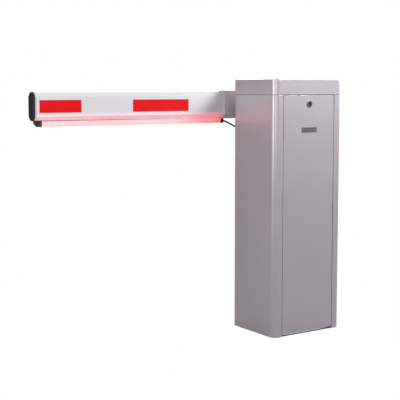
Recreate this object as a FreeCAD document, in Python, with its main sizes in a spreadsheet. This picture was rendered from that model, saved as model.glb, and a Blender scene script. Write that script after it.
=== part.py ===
"""Parking barrier gate: a sheet-steel cabinet with a lift-out door, a crank-driven boom and a lit boom edge.

Row frame: millimetres, +Z up.  X runs along the door face, the boom points along -X, and the boom side of
the cabinet faces +Y.  The origin is the centre of the anchor holes, on the ground.
"""
import FreeCAD
import Part

import math
import os

import Sketcher
from FreeCAD import Placement, Rotation, Vector

doc = FreeCAD.newDocument("barrier_gate")
sheet = doc.addObject("Spreadsheet::Sheet", "dims")


class Size:
    """A number that remembers the sheet formula it comes from, so a property can be bound to it."""

    def __init__(self, value, text):
        self.value = float(value)
        self.text = text

    def __add__(self, other):
        other = size(other)
        return Size(self.value + other.value, f"({self.text} + {other.text})")

    def __sub__(self, other):
        other = size(other)
        return Size(self.value - other.value, f"({self.text} - {other.text})")

    def __mul__(self, other):
        other = size(other)
        return Size(self.value * other.value, f"({self.text} * {other.text})")

    def __truediv__(self, other):
        other = size(other)
        return Size(self.value / other.value, f"({self.text} / {other.text})")

    def __neg__(self):
        return Size(-self.value, f"(0 - {self.text})")

    def __radd__(self, other):
        return size(other) + self

    def __rsub__(self, other):
        return size(other) - self

    def __rmul__(self, other):
        return size(other) * self


def size(number):
    """A plain number as a Size; a Size passes through."""
    return number if isinstance(number, Size) else Size(number, f"{number:.6f}")


def named(alias, value, note):
    """One driving dimension: a sheet row with its note, its value and its alias."""
    named.row += 1
    sheet.set(f"A{named.row}", note)
    sheet.set(f"B{named.row}", f"{value}")
    sheet.setAlias(f"B{named.row}", alias)
    return Size(value, f"dims.{alias}")


named.row = 0

# ---------------------------------------------------------------- driving dimensions
cab_w = named("cab_w", 340, "cabinet width across the door face")
cab_d = named("cab_d", 272, "cabinet depth, door face to boom side")
cab_h = named("cab_h", 1000, "ground to the top of the lid")
corner_r = named("corner_r", 25, "outer radius of the upright corners")
wall = named("wall", 2, "cabinet sheet thickness")
lid_h = named("lid_h", 60, "height of the lid skirt")
lid_edge_r = named("lid_edge_r", 3, "bend radius round the lid's top")
seam = named("seam", 1.5, "gap under the lid, filled by its gasket")
lid_flange = named("lid_flange", 18, "width of the flanges that the lid is screwed through")
lid_screw_r = named("lid_screw_r", 3, "radius of the lid screws")

door_opening = named("door_opening", 258, "width of the door opening")
door_gap = named("door_gap", 2.5, "gap round the closed door")
door_foot = named("door_foot", 8, "ground to the door's lower edge")
door_depth = named("door_depth", 18, "depth of the door's folded edge")
door_skin = named("door_skin", 1.5, "door sheet thickness")
jamb_depth = named("jamb_depth", 24, "depth of the folds beside the door")
jamb_flange = named("jamb_flange", 14, "width of the flange that carries the door seal")
head_h = named("head_h", 23, "height of the head rail behind the door's top edge")
seal_foot = named("seal_foot", 48, "ground to the lower end of the door seal")
pivot_z = named("pivot_z", 25, "ground to the door's pivot pins")
pivot_in = named("pivot_in", 12, "door face to the door's pivot pins")
pivot_r = named("pivot_r", 4, "radius of the door's pivot pins")

lock_z = named("lock_z", 904, "ground to the lock's centre")
lock_face_r = named("lock_face_r", 12.5, "radius of the lock's face")
lock_body_r = named("lock_body_r", 9.5, "radius of the lock's body")
lock_plug_r = named("lock_plug_r", 6.5, "radius of the key plug")
lock_reach = named("lock_reach", 26, "door face to the rear of the lock's body")
cam_len = named("cam_len", 26, "length of the lock's cam from its axis")
badge_w = named("badge_w", 76, "width of the blank name plate")
badge_h = named("badge_h", 20, "height of the blank name plate")
badge_z = named("badge_z", 804, "ground to the name plate's centre")

base_thick = named("base_thick", 5, "thickness of the base plate")
base_setback = named("base_setback", 0.3, "sill to the base plate's front edge")
sill_h = named("sill_h", 30, "height of the sill behind the door's foot")
sill_in = named("sill_in", 32, "door face to the sill")
anchor_x = named("anchor_x", 240, "anchor hole spacing along X")
anchor_y = named("anchor_y", 170, "anchor hole spacing along Y")
anchor_r = named("anchor_r", 7, "radius of the anchor holes")
entry_w = named("entry_w", 140, "width of the cable entry in the base plate")
entry_d = named("entry_d", 90, "depth of the cable entry in the base plate")

axis_z = named("axis_z", 899, "ground to the boom shaft")
boom_gap = named("boom_gap", 36, "cabinet to the boom's near face")
boom_tall = named("boom_tall", 100, "height of the boom profile")
boom_deep = named("boom_deep", 45, "depth of the boom profile")
boom_bevel = named("boom_bevel", 13.5, "bevel of the boom profile's corners")
boom_wall = named("boom_wall", 2.5, "wall of the boom profile")
boom_tip = named("boom_tip", 1013, "shaft axis to the boom profile's far end")
boom_root = named("boom_root", 100, "shaft axis to the boom profile's near end")
cap_thick = named("cap_thick", 6, "thickness of the tip cap's face")
cap_proud = named("cap_proud", 2.5, "how far the tip cap stands out round the profile")
cap_plug = named("cap_plug", 22, "depth of the caps' plugs inside the profile")
tape_tall = named("tape_tall", 46, "height of the reflective tape")
tape_thick = named("tape_thick", 0.4, "thickness of the reflective tape")
tape_tip_gap = named("tape_tip_gap", 17, "boom tip to the first tape")
tape_short = named("tape_short", 167, "length of the tape at the tip")
tape_space = named("tape_space", 218, "bare length between the tapes")
tape_long = named("tape_long", 252, "length of the second tape")

holder_wall = named("holder_wall", 5, "wall of the boom holder")
fit = named("fit", 0.3, "clearance of parts that clamp or slide together")
holder_reach = named("holder_reach", 190, "shaft axis to the holder's outer end")
holder_root = named("holder_root", 110, "shaft axis to the holder's inner end")
holder_split = named("holder_split", 3, "gap between the two halves of the holder")
hub_r = named("hub_r", 54, "radius of the hub flange")
hub_thick = named("hub_thick", 12, "thickness of the hub flange")
hub_boss_r = named("hub_boss_r", 27, "radius of the hub's boss")
clamp_circle = named("clamp_circle", 42, "radius of the circle of the holder bolts")
clamp_r = named("clamp_r", 5, "radius of the holder bolts")

rail_wide = named("rail_wide", 18, "width of the light rail")
rail_tall = named("rail_tall", 4, "height of the light rail")
rail_wall = named("rail_wall", 1.5, "wall of the light rail")
light_wide = named("light_wide", 14.4, "width of the light diffuser")
light_tall = named("light_tall", 23, "drop of the light diffuser under the boom")
light_plug = named("light_plug", 26, "length of the light's end plug at the tip")
light_stub = named("light_stub", 14, "length of the light's end plug at the holder")
light_in = named("light_in", 194, "shaft axis to the light's inner end")
light_out = named("light_out", 981, "shaft axis to the light's outer end")
light_skin = named("light_skin", 1.4, "wall of the light diffuser")
lead_d = named("lead_d", 6.5, "diameter of the light's lead")

shaft_r = named("shaft_r", 15, "radius of the boom shaft")
shaft_bore = named("shaft_bore", 7, "radius of the bore through the boom shaft")
shaft_front = named("shaft_front", 38, "cabinet centre to the boom shaft's front end")
key_wide = named("key_wide", 8, "width of the shaft keys")
key_tall = named("key_tall", 7, "height of the shaft keys")
slack = named("slack", 0.05, "radial clearance of running fits")
bearing_r = named("bearing_r", 27.5, "outer radius of the boom shaft's bearings")
bearing_wide = named("bearing_wide", 13, "width of the boom shaft's bearings")
housing_side = named("housing_side", 84, "side of the square bearing housings")
housing_thick = named("housing_thick", 14, "thickness of the bearing housings")
frame_w = named("frame_w", 280, "width of the drive frame")
frame_foot = named("frame_foot", 560, "ground to the drive frame's lower edge")
frame_top = named("frame_top", 931, "ground to the drive frame's upper edge")
front_plate = named("front_plate", 8, "thickness of the drive frame's front plate")
rear_plate = named("rear_plate", 6, "thickness of the drive frame's rear plate")
rear_plate_y = named("rear_plate_y", 112, "cabinet centre to the drive frame's rear plate")
bracket_thick = named("bracket_thick", 5, "thickness of the frame brackets")

crank_z = named("crank_z", 735, "ground to the gearbox output shaft")
crank_r = named("crank_r", 60, "throw of the crank and of the boom lever")
pin_r = named("pin_r", 8, "radius of the link pins")
arm_thick = named("arm_thick", 12, "thickness of the crank and of the boom lever")
arm_y = named("arm_y", 18, "cabinet centre to the rear face of the crank and lever")
arm_hub_r = named("arm_hub_r", 26, "radius of the hubs of the crank and levers")
rod_gap = named("rod_gap", 4, "crank to the link rod")
rod_thick = named("rod_thick", 12, "thickness of the link rod")
rod_eye_r = named("rod_eye_r", 16, "outer radius of the link rod's eyes")
link_play = named("link_play", 0.3, "radial clearance at the rod's upper eye")

case_w = named("case_w", 140, "width of the gearbox case")
case_wall = named("case_wall", 4, "wall of the gearbox case")
case_deep = named("case_deep", 50, "depth of the gearbox case")
output_r = named("output_r", 12, "radius of the gearbox output shaft")
idler_r = named("idler_r", 6, "radius of the idler shaft")
bush_wall = named("bush_wall", 5, "wall of the gearbox bushes")
big_teeth = named("big_teeth", 60, "teeth of both wheels")
small_teeth = named("small_teeth", 15, "teeth of both pinions")
slow_module = named("slow_module", 2, "module of the output pair")
fast_module = named("fast_module", 1.25, "module of the motor pair")
gear_play = named("gear_play", 0.3, "backlash between meshing teeth")
motor_r = named("motor_r", 42, "radius of the motor")
motor_len = named("motor_len", 72, "length of the motor's shell")
rotor_r = named("rotor_r", 5, "radius of the motor shaft")
wheel_r = named("wheel_r", 29, "radius of the hand wheel")

stop_arm = named("stop_arm", 72, "length of the stop lever")
stop_y = named("stop_y", 30, "cabinet centre to the stop lever")
stop_thick = named("stop_thick", 14, "thickness of the stop lever")
stop_half = named("stop_half", 10, "half height of the stop lever")
stop_gap = named("stop_gap", 0.3, "stop lever to a buffer at the end of travel")
buffer_r = named("buffer_r", 9, "radius of the rubber buffers")
buffer_len = named("buffer_len", 13, "length of the rubber buffers")
coil_r = named("coil_r", 30, "mean radius of the balance spring")
coil_wire = named("coil_wire", 3, "radius of the balance spring's wire")
coil_start = named("coil_start", 52, "cabinet centre to the spring's moving end")
coil_end = named("coil_end", 103, "cabinet centre to the spring's fixed end")
coil_turns = named("coil_turns", 6.5, "turns of the balance spring")
coil_leg = named("coil_leg", 52, "shaft axis to the tips of the spring's legs")
peg_r = named("peg_r", 4, "radius of the spring pegs")
sensor_r = named("sensor_r", 6, "radius of the limit sensors")
sensor_circle = named("sensor_circle", 52, "shaft axis to the limit sensors")

panel_y = named("panel_y", 40, "cabinet centre to the mounting panel")
panel_foot = named("panel_foot", 110, "ground to the mounting panel")
panel_top = named("panel_top", 530, "ground to the mounting panel's upper edge")

# places that several pieces share
rear = cab_d / 2
front = -(cab_d / 2)
inner_x = cab_w / 2 - wall
inner_y = cab_d / 2 - wall
shell_top = cab_h - lid_h - seam
boom_y0 = rear + boom_gap
boom_yc = boom_y0 + boom_deep / 2
boom_foot = axis_z - boom_tall / 2
holder_y0 = boom_y0 - fit - holder_wall
frame_x = frame_w / 2
arm_front = -(arm_y + arm_thick)
rod_rear = arm_front - rod_gap
rod_front = rod_rear - rod_thick
diagonal = math.sqrt(0.5)
pin_off = crank_r * diagonal

AXIS_TURN = {
    "x": Rotation(Vector(0, 1, 0), 90),
    "y": Rotation(Vector(1, 0, 0), -90),
    "z": Rotation(),
}
BASE_AXES = "xyz"
parts = {}


# ---------------------------------------------------------------- modelling helpers
def bind(item, prop, amount):
    """Binds a property to its sheet formula."""
    item.setExpression(prop, size(amount).text)


def place(item, x, y, z, turn=None):
    """Puts a primitive at a place that follows the sheet."""
    if turn is not None:
        item.Placement = Placement(Vector(), turn)
    for letter, amount in zip(BASE_AXES, (x, y, z)):
        bind(item, f"Placement.Base.{letter}", amount)
    return item


def box(name, x0, x1, y0, y1, z0, z1):
    """A block between two corners."""
    item = doc.addObject("Part::Box", name)
    bind(item, "Length", size(x1) - x0)
    bind(item, "Width", size(y1) - y0)
    bind(item, "Height", size(z1) - z0)
    return place(item, x0, y0, z0)


def rod(name, axis, radius, start, end, a, b):
    """A cylinder along an axis, from start to end; a and b are its other two coordinates, in x, y, z order."""
    item = doc.addObject("Part::Cylinder", name)
    bind(item, "Radius", radius)
    bind(item, "Height", size(end) - start)
    spots = {"x": (start, a, b), "y": (a, start, b), "z": (a, b, start)}
    return place(item, *spots[axis], turn=AXIS_TURN[axis])


def cone(name, axis, r_start, r_end, start, end, a, b):
    """A cone along an axis, from start to end."""
    item = doc.addObject("Part::Cone", name)
    bind(item, "Radius1", r_start)
    bind(item, "Radius2", r_end)
    bind(item, "Height", size(end) - start)
    spots = {"x": (start, a, b), "y": (a, start, b), "z": (a, b, start)}
    return place(item, *spots[axis], turn=AXIS_TURN[axis])


def hexagon(name, axis, flats, start, end, a, b):
    """A hexagonal prism along an axis, as a nut or a bolt head."""
    item = doc.addObject("Part::Prism", name)
    item.Polygon = 6
    bind(item, "Circumradius", size(flats) / math.sqrt(3))
    bind(item, "Height", size(end) - start)
    spots = {"x": (start, a, b), "y": (a, start, b), "z": (a, b, start)}
    return place(item, *spots[axis], turn=AXIS_TURN[axis])


def ring(name, axis, ring_r, wire_r, x, y, z):
    """A torus about an axis."""
    item = doc.addObject("Part::Torus", name)
    bind(item, "Radius1", ring_r)
    bind(item, "Radius2", wire_r)
    return place(item, x, y, z, turn=AXIS_TURN[axis])


def fuse(name, items):
    """Items joined to one solid."""
    item = doc.addObject("Part::MultiFuse", name)
    item.Shapes = items
    item.Refine = True
    return item


def cut(name, base, tools):
    """A base with tools taken away."""
    item = doc.addObject("Part::Cut", name)
    item.Base = base
    item.Tool = tools[0] if len(tools) == 1 else fuse(name + "_tools", tools)
    item.Refine = True
    return item


def group(name, items):
    """Separate like solids kept in one node."""
    item = doc.addObject("Part::Compound", name)
    item.Links = items
    return item


def node(label, item):
    """Registers a finished sub-part under its own label."""
    item.Label = label
    parts[label] = item
    return item


def new_body(name):
    return doc.addObject("PartDesign::Body", name)


def sketch_on(body, name, role, lift=None):
    """An empty sketch on one of the body's own origin planes, lifted along its normal."""
    sketch = body.newObject("Sketcher::SketchObject", name)
    plane = [item for item in body.Origin.OriginFeatures if item.Role == role][0]
    sketch.AttachmentSupport = [(plane, "")]
    sketch.MapMode = "FlatFace"
    if lift is not None:
        bind(sketch, "AttachmentOffset.Base.z", lift)
    return sketch


def tie(sketch, kind, geometry, point, amount):
    """Ties one coordinate of a point to the sketch's origin by a formula."""
    index = sketch.addConstraint(Sketcher.Constraint(kind, -1, 1, geometry, point, size(amount).value))
    bind(sketch, f"Constraints[{index}]", amount)


def outline(sketch, corners):
    """A closed polygon whose every corner is tied to the sheet."""
    values = [Vector(size(u).value, size(v).value, 0) for u, v in corners]
    count = len(corners)
    lines = [
        sketch.addGeometry(Part.LineSegment(values[i], values[(i + 1) % count]), False) for i in range(count)
    ]
    for i, line in enumerate(lines):
        sketch.addConstraint(Sketcher.Constraint("Coincident", line, 2, lines[(i + 1) % count], 1))
        tie(sketch, "DistanceX", line, 1, corners[i][0])
        tie(sketch, "DistanceY", line, 1, corners[i][1])


def circle(sketch, u, v, radius):
    """A circle tied to the sheet."""
    where = Vector(size(u).value, size(v).value, 0)
    item = sketch.addGeometry(Part.Circle(where, Vector(0, 0, 1), size(radius).value), False)
    tie(sketch, "DistanceX", item, 3, u)
    tie(sketch, "DistanceY", item, 3, v)
    index = sketch.addConstraint(Sketcher.Constraint("Radius", item, size(radius).value))
    bind(sketch, f"Constraints[{index}]", radius)


def pad(body, sketch, length, reverse=False):
    item = body.newObject("PartDesign::Pad", sketch.Name + "_pad")
    item.Profile = sketch
    bind(item, "Length", length)
    item.Reversed = reverse
    sketch.Visibility = False
    return item


def pocket(body, sketch, length, reverse=False):
    item = body.newObject("PartDesign::Pocket", sketch.Name + "_pocket")
    item.Profile = sketch
    bind(item, "Length", length)
    item.Reversed = reverse
    return item


def edges_where(item, test):
    """Names of the edges of a feature whose centre and direction pass a test."""
    doc.recompute()
    found = []
    for index, edge in enumerate(item.Shape.Edges, 1):
        ends = [vertex.Point for vertex in edge.Vertexes]
        if len(ends) == 2 and test(ends[0], ends[1]):
            found.append(f"Edge{index}")
    return found


def upright(first, last):
    return abs(first.z - last.z) > 1 and math.hypot(first.x - last.x, first.y - last.y) < 0.01


def fillet(body, base, names, radius):
    item = body.newObject("PartDesign::Fillet", base.Name + "_fillet")
    item.Base = (base, names)
    bind(item, "Radius", radius)
    return item


def rounded_block(name, wide, deep, z0, z1, radius):
    """A block on the Z axis with rounded upright corners, made as a body."""
    body = new_body(name)
    sketch = sketch_on(body, name + "_plan", "XY_Plane", z0)
    x, y = size(wide) / 2, size(deep) / 2
    outline(sketch, [(-x, -y), (x, -y), (x, y), (-x, y)])
    block = pad(body, sketch, size(z1) - z0)
    fillet(body, block, edges_where(block, upright), radius)
    return body


def octagon(yc, zc, deep, tall, bevel):
    """Corners of the boom's eight-sided section, in Y and Z."""
    y, z = size(deep) / 2, size(tall) / 2
    return [
        (yc - y + bevel, zc - z),
        (yc + y - bevel, zc - z),
        (yc + y, zc - z + bevel),
        (yc + y, zc + z - bevel),
        (yc + y - bevel, zc + z),
        (yc - y + bevel, zc + z),
        (yc - y, zc + z - bevel),
        (yc - y, zc - z + bevel),
    ]


def boom_prism(name, x0, x1, grow):
    """The boom's section grown by an amount on every side, between two X values."""
    grow = size(grow)
    body = new_body(name)
    sketch = sketch_on(body, name + "_section", "YZ_Plane", x0)
    # a bevel face moves out by the same amount when the bevel grows by (2 - sqrt 2) of it
    bevel = boom_bevel + grow * (2 - math.sqrt(2))
    outline(sketch, octagon(boom_yc, axis_z, boom_deep + grow * 2, boom_tall + grow * 2, bevel))
    pad(body, sketch, size(x1) - x0)
    return body


def hex_bolt(name, axis, radius, head_at, tip_at, a, b, flats, head_thick):
    """A hexagon bolt whose head lies outside head_at and whose shank ends at tip_at."""
    away = 1 if size(head_at).value > size(tip_at).value else -1
    head_end = size(head_at) + size(head_thick) * away
    low, high = (size(tip_at), size(head_at)) if away > 0 else (size(head_at), size(tip_at))
    h0, h1 = (size(head_at), head_end) if away > 0 else (head_end, size(head_at))
    head = hexagon(name + "_head", axis, flats, h0, h1, a, b)
    shank = rod(name + "_shank", axis, radius, low, high, a, b)
    return fuse(name, [head, shank])


def bar_rod(name, start, end, radius):
    """A round bar between two fixed points given as sizes."""
    shape = doc.addObject("Part::Feature", name)
    a = Vector(*[size(v).value for v in start])
    b = Vector(*[size(v).value for v in end])
    shape.Shape = Part.makeCylinder(size(radius).value, (b - a).Length, a, b - a)
    return shape


def link_shape(name, x0, z0, r0, x1, z1, r1, y0, y1):
    """A flat arm between two round ends: two discs joined by their outer tangents."""
    body = new_body(name + "_web")
    sketch = sketch_on(body, name + "_plan", "XZ_Plane", -size(y1))
    dx, dz = size(x1).value - size(x0).value, size(z1).value - size(z0).value
    long = math.hypot(dx, dz)
    lean = math.asin((size(r0).value - size(r1).value) / long)
    base = math.atan2(dz, dx)
    corners = []
    for side, x, z, radius in ((1, x0, z0, r0), (1, x1, z1, r1), (-1, x1, z1, r1), (-1, x0, z0, r0)):
        angle = base + side * (math.pi / 2 - lean)
        corners.append((size(x) + size(radius) * math.cos(angle), size(z) + size(radius) * math.sin(angle)))
    outline(sketch, corners)
    pad(body, sketch, size(y1) - y0)
    ends = [rod(f"{name}_end{i}", "y", r, y0, y1, x, z) for i, (x, z, r) in enumerate(((x0, z0, r0), (x1, z1, r1)))]
    return fuse(name, [body] + ends)


def keyway(name, y0, y1):
    """The slot in a hub for the shaft's key, with its clearance."""
    half = key_wide / 2 + 0.1
    return box(name, -half, half, y0, y1, axis_z, axis_z + shaft_r + key_tall / 2 + 0.2)


def gear(name, teeth, module, y0, y1, x, z, gap_up):
    """A spur gear on a Y axis with involute stub teeth; gap_up puts a gap, not a tooth, straight up."""
    count = int(round(teeth.value))
    pitch_r = module.value * count / 2
    base_r = pitch_r * math.cos(math.radians(20))
    tip_r = pitch_r + 0.8 * module.value
    root_r = pitch_r - 1.05 * module.value
    play = gear_play.value / 2 / pitch_r / 2

    def roll(radius):
        turn = math.sqrt(max((radius / base_r) ** 2 - 1, 0))
        return turn - math.atan(turn)

    half_pitch = math.pi / 2 / count - play + roll(pitch_r)
    radii = [max(base_r, root_r) + (tip_r - max(base_r, root_r)) * step / 5 for step in range(6)]
    flank = [(radius, half_pitch - roll(radius)) for radius in radii]
    if root_r < base_r:
        flank.insert(0, (root_r, flank[0][1]))
    points = []
    for index in range(count):
        middle = 2 * math.pi * (index + (0.5 if gap_up else 0)) / count
        for radius, half in flank:
            points.append((radius, middle - half))
        for radius, half in reversed(flank):
            points.append((radius, middle + half))
    ring_points = [Vector(r * math.sin(turn), 0, r * math.cos(turn)) for r, turn in points]
    face = Part.Face(Part.makePolygon(ring_points + [ring_points[0]]))
    item = doc.addObject("Part::Feature", name)
    item.Shape = face.extrude(Vector(0, (size(y1) - y0).value, 0))
    return place(item, x, y0, z)


# ---------------------------------------------------------------- cabinet shell, base and lid
half_open = door_opening / 2
flange_y = front + jamb_depth
shell_outer = rounded_block("shell_outer", cab_w, cab_d, 0, shell_top, corner_r)
shell_inner = rounded_block(
    "shell_inner", cab_w - wall * 2, cab_d - wall * 2, -1, shell_top - wall, corner_r - wall
)
edge_in = wall + lid_flange
shell_mouth = box(
    "shell_mouth",
    -(cab_w / 2 - edge_in),
    cab_w / 2 - edge_in,
    flange_y + lid_flange,
    rear - edge_in,
    shell_top - 10,
    shell_top + 5,
)
door_way = box("door_way", -half_open, half_open, front - 1, flange_y - wall, -1, shell_top + 5)
shaft_way = rod("shaft_way", "y", shaft_r + 9, rear - 10, rear + 5, 0, axis_z)
screw_x = inner_x - lid_flange / 2
screw_y = 90
screw_ways = [
    rod(f"screw_way_{i}{j}", "z", lid_screw_r + fit, shell_top - 6, shell_top + 3, screw_x * i, screw_y * j)
    for i in (-1, 1)
    for j in (-1, 1)
]
shell_sheet = cut("shell_sheet", shell_outer, [shell_inner, shell_mouth, door_way, shaft_way] + screw_ways)
folds = []
for name, way in (("left", -1), ("right", 1)):
    near, far = half_open * way, (half_open + wall) * way
    low, high = (far, near) if way < 0 else (near, far)
    lip = (half_open - jamb_flange) * way
    lip_low, lip_high = (near, lip) if way < 0 else (lip, near)
    folds.append(box(f"jamb_{name}", low, high, front + wall / 2, flange_y, 0, shell_top - wall / 2))
    folds.append(box(f"jamb_foot_{name}", low, high, flange_y, front + sill_in + wall, 0, sill_h + 10))
    folds.append(box(f"jamb_lip_{name}", lip_low, lip_high, flange_y - wall, flange_y, seal_foot, shell_top - 1))
folds.append(box("head_rail", -half_open, half_open, flange_y - wall, flange_y, shell_top - head_h, shell_top))
folds.append(box("sill", -half_open, half_open, front + sill_in, front + sill_in + wall, 0, sill_h))
pin_ways = [
    rod("pin_way_left", "x", pivot_r + 0.5, -(half_open + wall + 1), -(half_open - 1), front + pivot_in, pivot_z),
    rod("pin_way_right", "x", pivot_r + 0.5, half_open - 1, half_open + wall + 1, front + pivot_in, pivot_z),
]
shell_formed = fuse("shell_formed", [shell_sheet] + folds)
node("cabinet_shell", cut("shell_drilled", shell_formed, pin_ways))

base = new_body("base")
base_plan = sketch_on(base, "base_plan", "XY_Plane")
base_x, base_y0, base_y1 = inner_x - fit, front + sill_in + wall + base_setback, inner_y - fit
outline(base_plan, [(-base_x, base_y0), (base_x, base_y0), (base_x, base_y1), (-base_x, base_y1)])
base_pad = pad(base, base_plan, base_thick)
rear_edges = edges_where(base_pad, lambda a, b: upright(a, b) and a.y > 0)
base_round = fillet(base, base_pad, rear_edges, corner_r - wall)
entry_plan = sketch_on(base, "entry_plan", "XY_Plane", base_thick)
outline(
    entry_plan,
    [
        (-(entry_w / 2), -(entry_d / 2)),
        (entry_w / 2, -(entry_d / 2)),
        (entry_w / 2, entry_d / 2),
        (-(entry_w / 2), entry_d / 2),
    ],
)
pocket(base, entry_plan, base_thick * 2)
anchor_plan = sketch_on(base, "anchor_plan", "XY_Plane", base_thick)
for i in (-1, 1):
    for j in (-1, 1):
        circle(anchor_plan, anchor_x / 2 * i, anchor_y / 2 * j, anchor_r)
base.Tip = pocket(base, anchor_plan, base_thick * 2)
node("base_plate", base)

lid_body = new_body("lid_body")
lid_plan = sketch_on(lid_body, "lid_plan", "XY_Plane", cab_h - lid_h)
lid_x, lid_y = cab_w / 2, cab_d / 2
outline(lid_plan, [(-lid_x, -lid_y), (lid_x, -lid_y), (lid_x, lid_y), (-lid_x, lid_y)])
lid_pad = pad(lid_body, lid_plan, lid_h)
lid_round = fillet(lid_body, lid_pad, edges_where(lid_pad, upright), corner_r)
top_edges = edges_where(lid_round, lambda a, b: min(a.z, b.z) > cab_h.value - 0.01)
fillet(lid_body, lid_round, top_edges, lid_edge_r)
lid_room = rounded_block(
    "lid_room", cab_w - wall * 2, cab_d - wall * 2, cab_h - lid_h - 1, cab_h - wall, corner_r - wall
)
lid_shell = cut("lid_shell", lid_body, [lid_room])
lid_blocks = []
lid_holes = []
for i in (-1, 1):
    for j in (-1, 1):
        x0, x1 = (screw_x - 8, inner_x + 0.5) if i > 0 else (-(inner_x + 0.5), -(screw_x - 8))
        lid_blocks.append(
            box(f"lid_block_{i}{j}", x0, x1, screw_y * j - 10, screw_y * j + 10, cab_h - lid_h, cab_h - lid_h + 16)
        )
        hole = rod(
            f"lid_hole_{i}{j}", "z", lid_screw_r + 0.1, cab_h - lid_h - 1, cab_h - lid_h + 14, screw_x * i, screw_y * j
        )
        lid_holes.append(hole)
node("lid", cut("lid_drilled", fuse("lid_formed", [lid_shell] + lid_blocks), lid_holes))

gasket_outer = rounded_block("gasket_outer", cab_w - 2, cab_d - 2, shell_top, shell_top + seam, corner_r - 1)
gasket_mouth = box(
    "gasket_mouth",
    -(cab_w / 2 - edge_in),
    cab_w / 2 - edge_in,
    flange_y + lid_flange,
    rear - edge_in,
    shell_top - 1,
    shell_top + 5,
)
gasket_front = box("gasket_front", -half_open, half_open, front - 1, flange_y - wall, shell_top - 1, shell_top + 5)
gasket_holes = [
    rod(f"gasket_hole_{i}{j}", "z", lid_screw_r + fit, shell_top - 1, shell_top + 3, screw_x * i, screw_y * j)
    for i in (-1, 1)
    for j in (-1, 1)
]
node("lid_gasket", cut("gasket", gasket_outer, [gasket_mouth, gasket_front] + gasket_holes))
lid_screws = [
    hex_bolt(
        f"lid_screw_{i}{j}", "z", lid_screw_r, shell_top - wall, cab_h - lid_h + 12, screw_x * i, screw_y * j, 10, 4
    )
    for i in (-1, 1)
    for j in (-1, 1)
]
node("lid_screws", group("lid_screw_set", lid_screws))

# ---------------------------------------------------------------- door, its seal and its pivots
door_x = half_open - door_gap
door_top = shell_top + seam - door_gap
door_body = new_body("door_body")
door_plan = sketch_on(door_body, "door_plan", "XY_Plane", door_foot)
door_in = front + door_depth
outline(door_plan, [(-door_x, front), (door_x, front), (door_x, door_in), (-door_x, door_in)])
door_pad = pad(door_body, door_plan, door_top - door_foot)
door_bends = edges_where(door_pad, lambda a, b: upright(a, b) and a.y < front.value + 0.01)
fillet(door_body, door_pad, door_bends, 1.5)
door_tray = box(
    "door_tray",
    -(door_x - door_skin),
    door_x - door_skin,
    front + door_skin,
    door_in + 1,
    door_foot + door_skin,
    door_top - door_skin,
)
pin_y = front + pivot_in
door_holes = [
    rod("door_hole_left", "x", pivot_r + 0.1, -(door_x + 1), -(door_x - 4), pin_y, pivot_z),
    rod("door_hole_right", "x", pivot_r + 0.1, door_x - 4, door_x + 1, pin_y, pivot_z),
    rod("door_hole_lock", "y", lock_body_r + fit, front - 1, front + 5, 0, lock_z),
]
stiff_y = front + door_skin
stiff_web = box("stiff_web", -26, 26, stiff_y + 10, stiff_y + 11.5, 120, 780)
stiff_sides = []
for i in (-1, 1):
    inner, outer = 24.5 * i, 26 * i
    stiff_sides.append(
        box(f"stiff_side_{i}", min(inner, outer), max(inner, outer), stiff_y, stiff_y + 11.5, 120, 780)
    )
    foot0, foot1 = 24.5 * i, 40 * i
    stiff_sides.append(box(f"stiff_foot_{i}", min(foot0, foot1), max(foot0, foot1), stiff_y, stiff_y + 1.5, 120, 780))
door_formed = cut("door_formed", door_body, [door_tray] + door_holes)
node("door_panel", fuse("door_welded", [door_formed, stiff_web] + stiff_sides))

door_pins = []
for i in (-1, 1):
    inner, outer = door_x - door_skin - 18, door_x - door_skin
    x0, x1 = (inner, outer) if i > 0 else (-outer, -inner)
    lug = box(f"pin_lug_{i}", x0, x1, front + 3, front + door_depth - 0.3, pivot_z - 10, pivot_z + 10)
    p0, p1 = (inner, half_open + wall + 8) if i > 0 else (-(half_open + wall + 8), -inner)
    pin = rod(f"pin_rod_{i}", "x", pivot_r, p0, p1, pin_y, pivot_z)
    door_pins.append(fuse(f"door_pin_{i}", [lug, pin]))
node("door_pins", group("door_pin_set", door_pins))

pivot_blocks = []
for i in (-1, 1):
    near, far = half_open + wall, half_open + wall + 10
    x0, x1 = (near, far) if i > 0 else (-far, -near)
    block = box(f"pivot_stock_{i}", x0, x1, front + 4, front + 20, pivot_z - 12, pivot_z + 12)
    bore = rod(f"pivot_bore_{i}", "x", pivot_r + slack, x0 - 1, x1 + 1, pin_y, pivot_z)
    pivot_blocks.append(cut(f"pivot_block_{i}", block, [bore]))
node("door_pivot_blocks", group("pivot_block_set", pivot_blocks))

seal_y0, seal_y1 = front + door_depth + fit, flange_y - wall
seal_sides = []
for i in (-1, 1):
    near, far = half_open - jamb_flange + 2, half_open - 2
    x0, x1 = (near, far) if i > 0 else (-far, -near)
    seal_sides.append(box(f"seal_side_{i}", x0, x1, seal_y0, seal_y1, seal_foot, shell_top - 3))
seal_top = box("seal_top", -(half_open - 2), half_open - 2, seal_y0, seal_y1, shell_top - 13, shell_top - 3)
node("door_seal", fuse("seal", seal_sides + [seal_top]))

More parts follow.
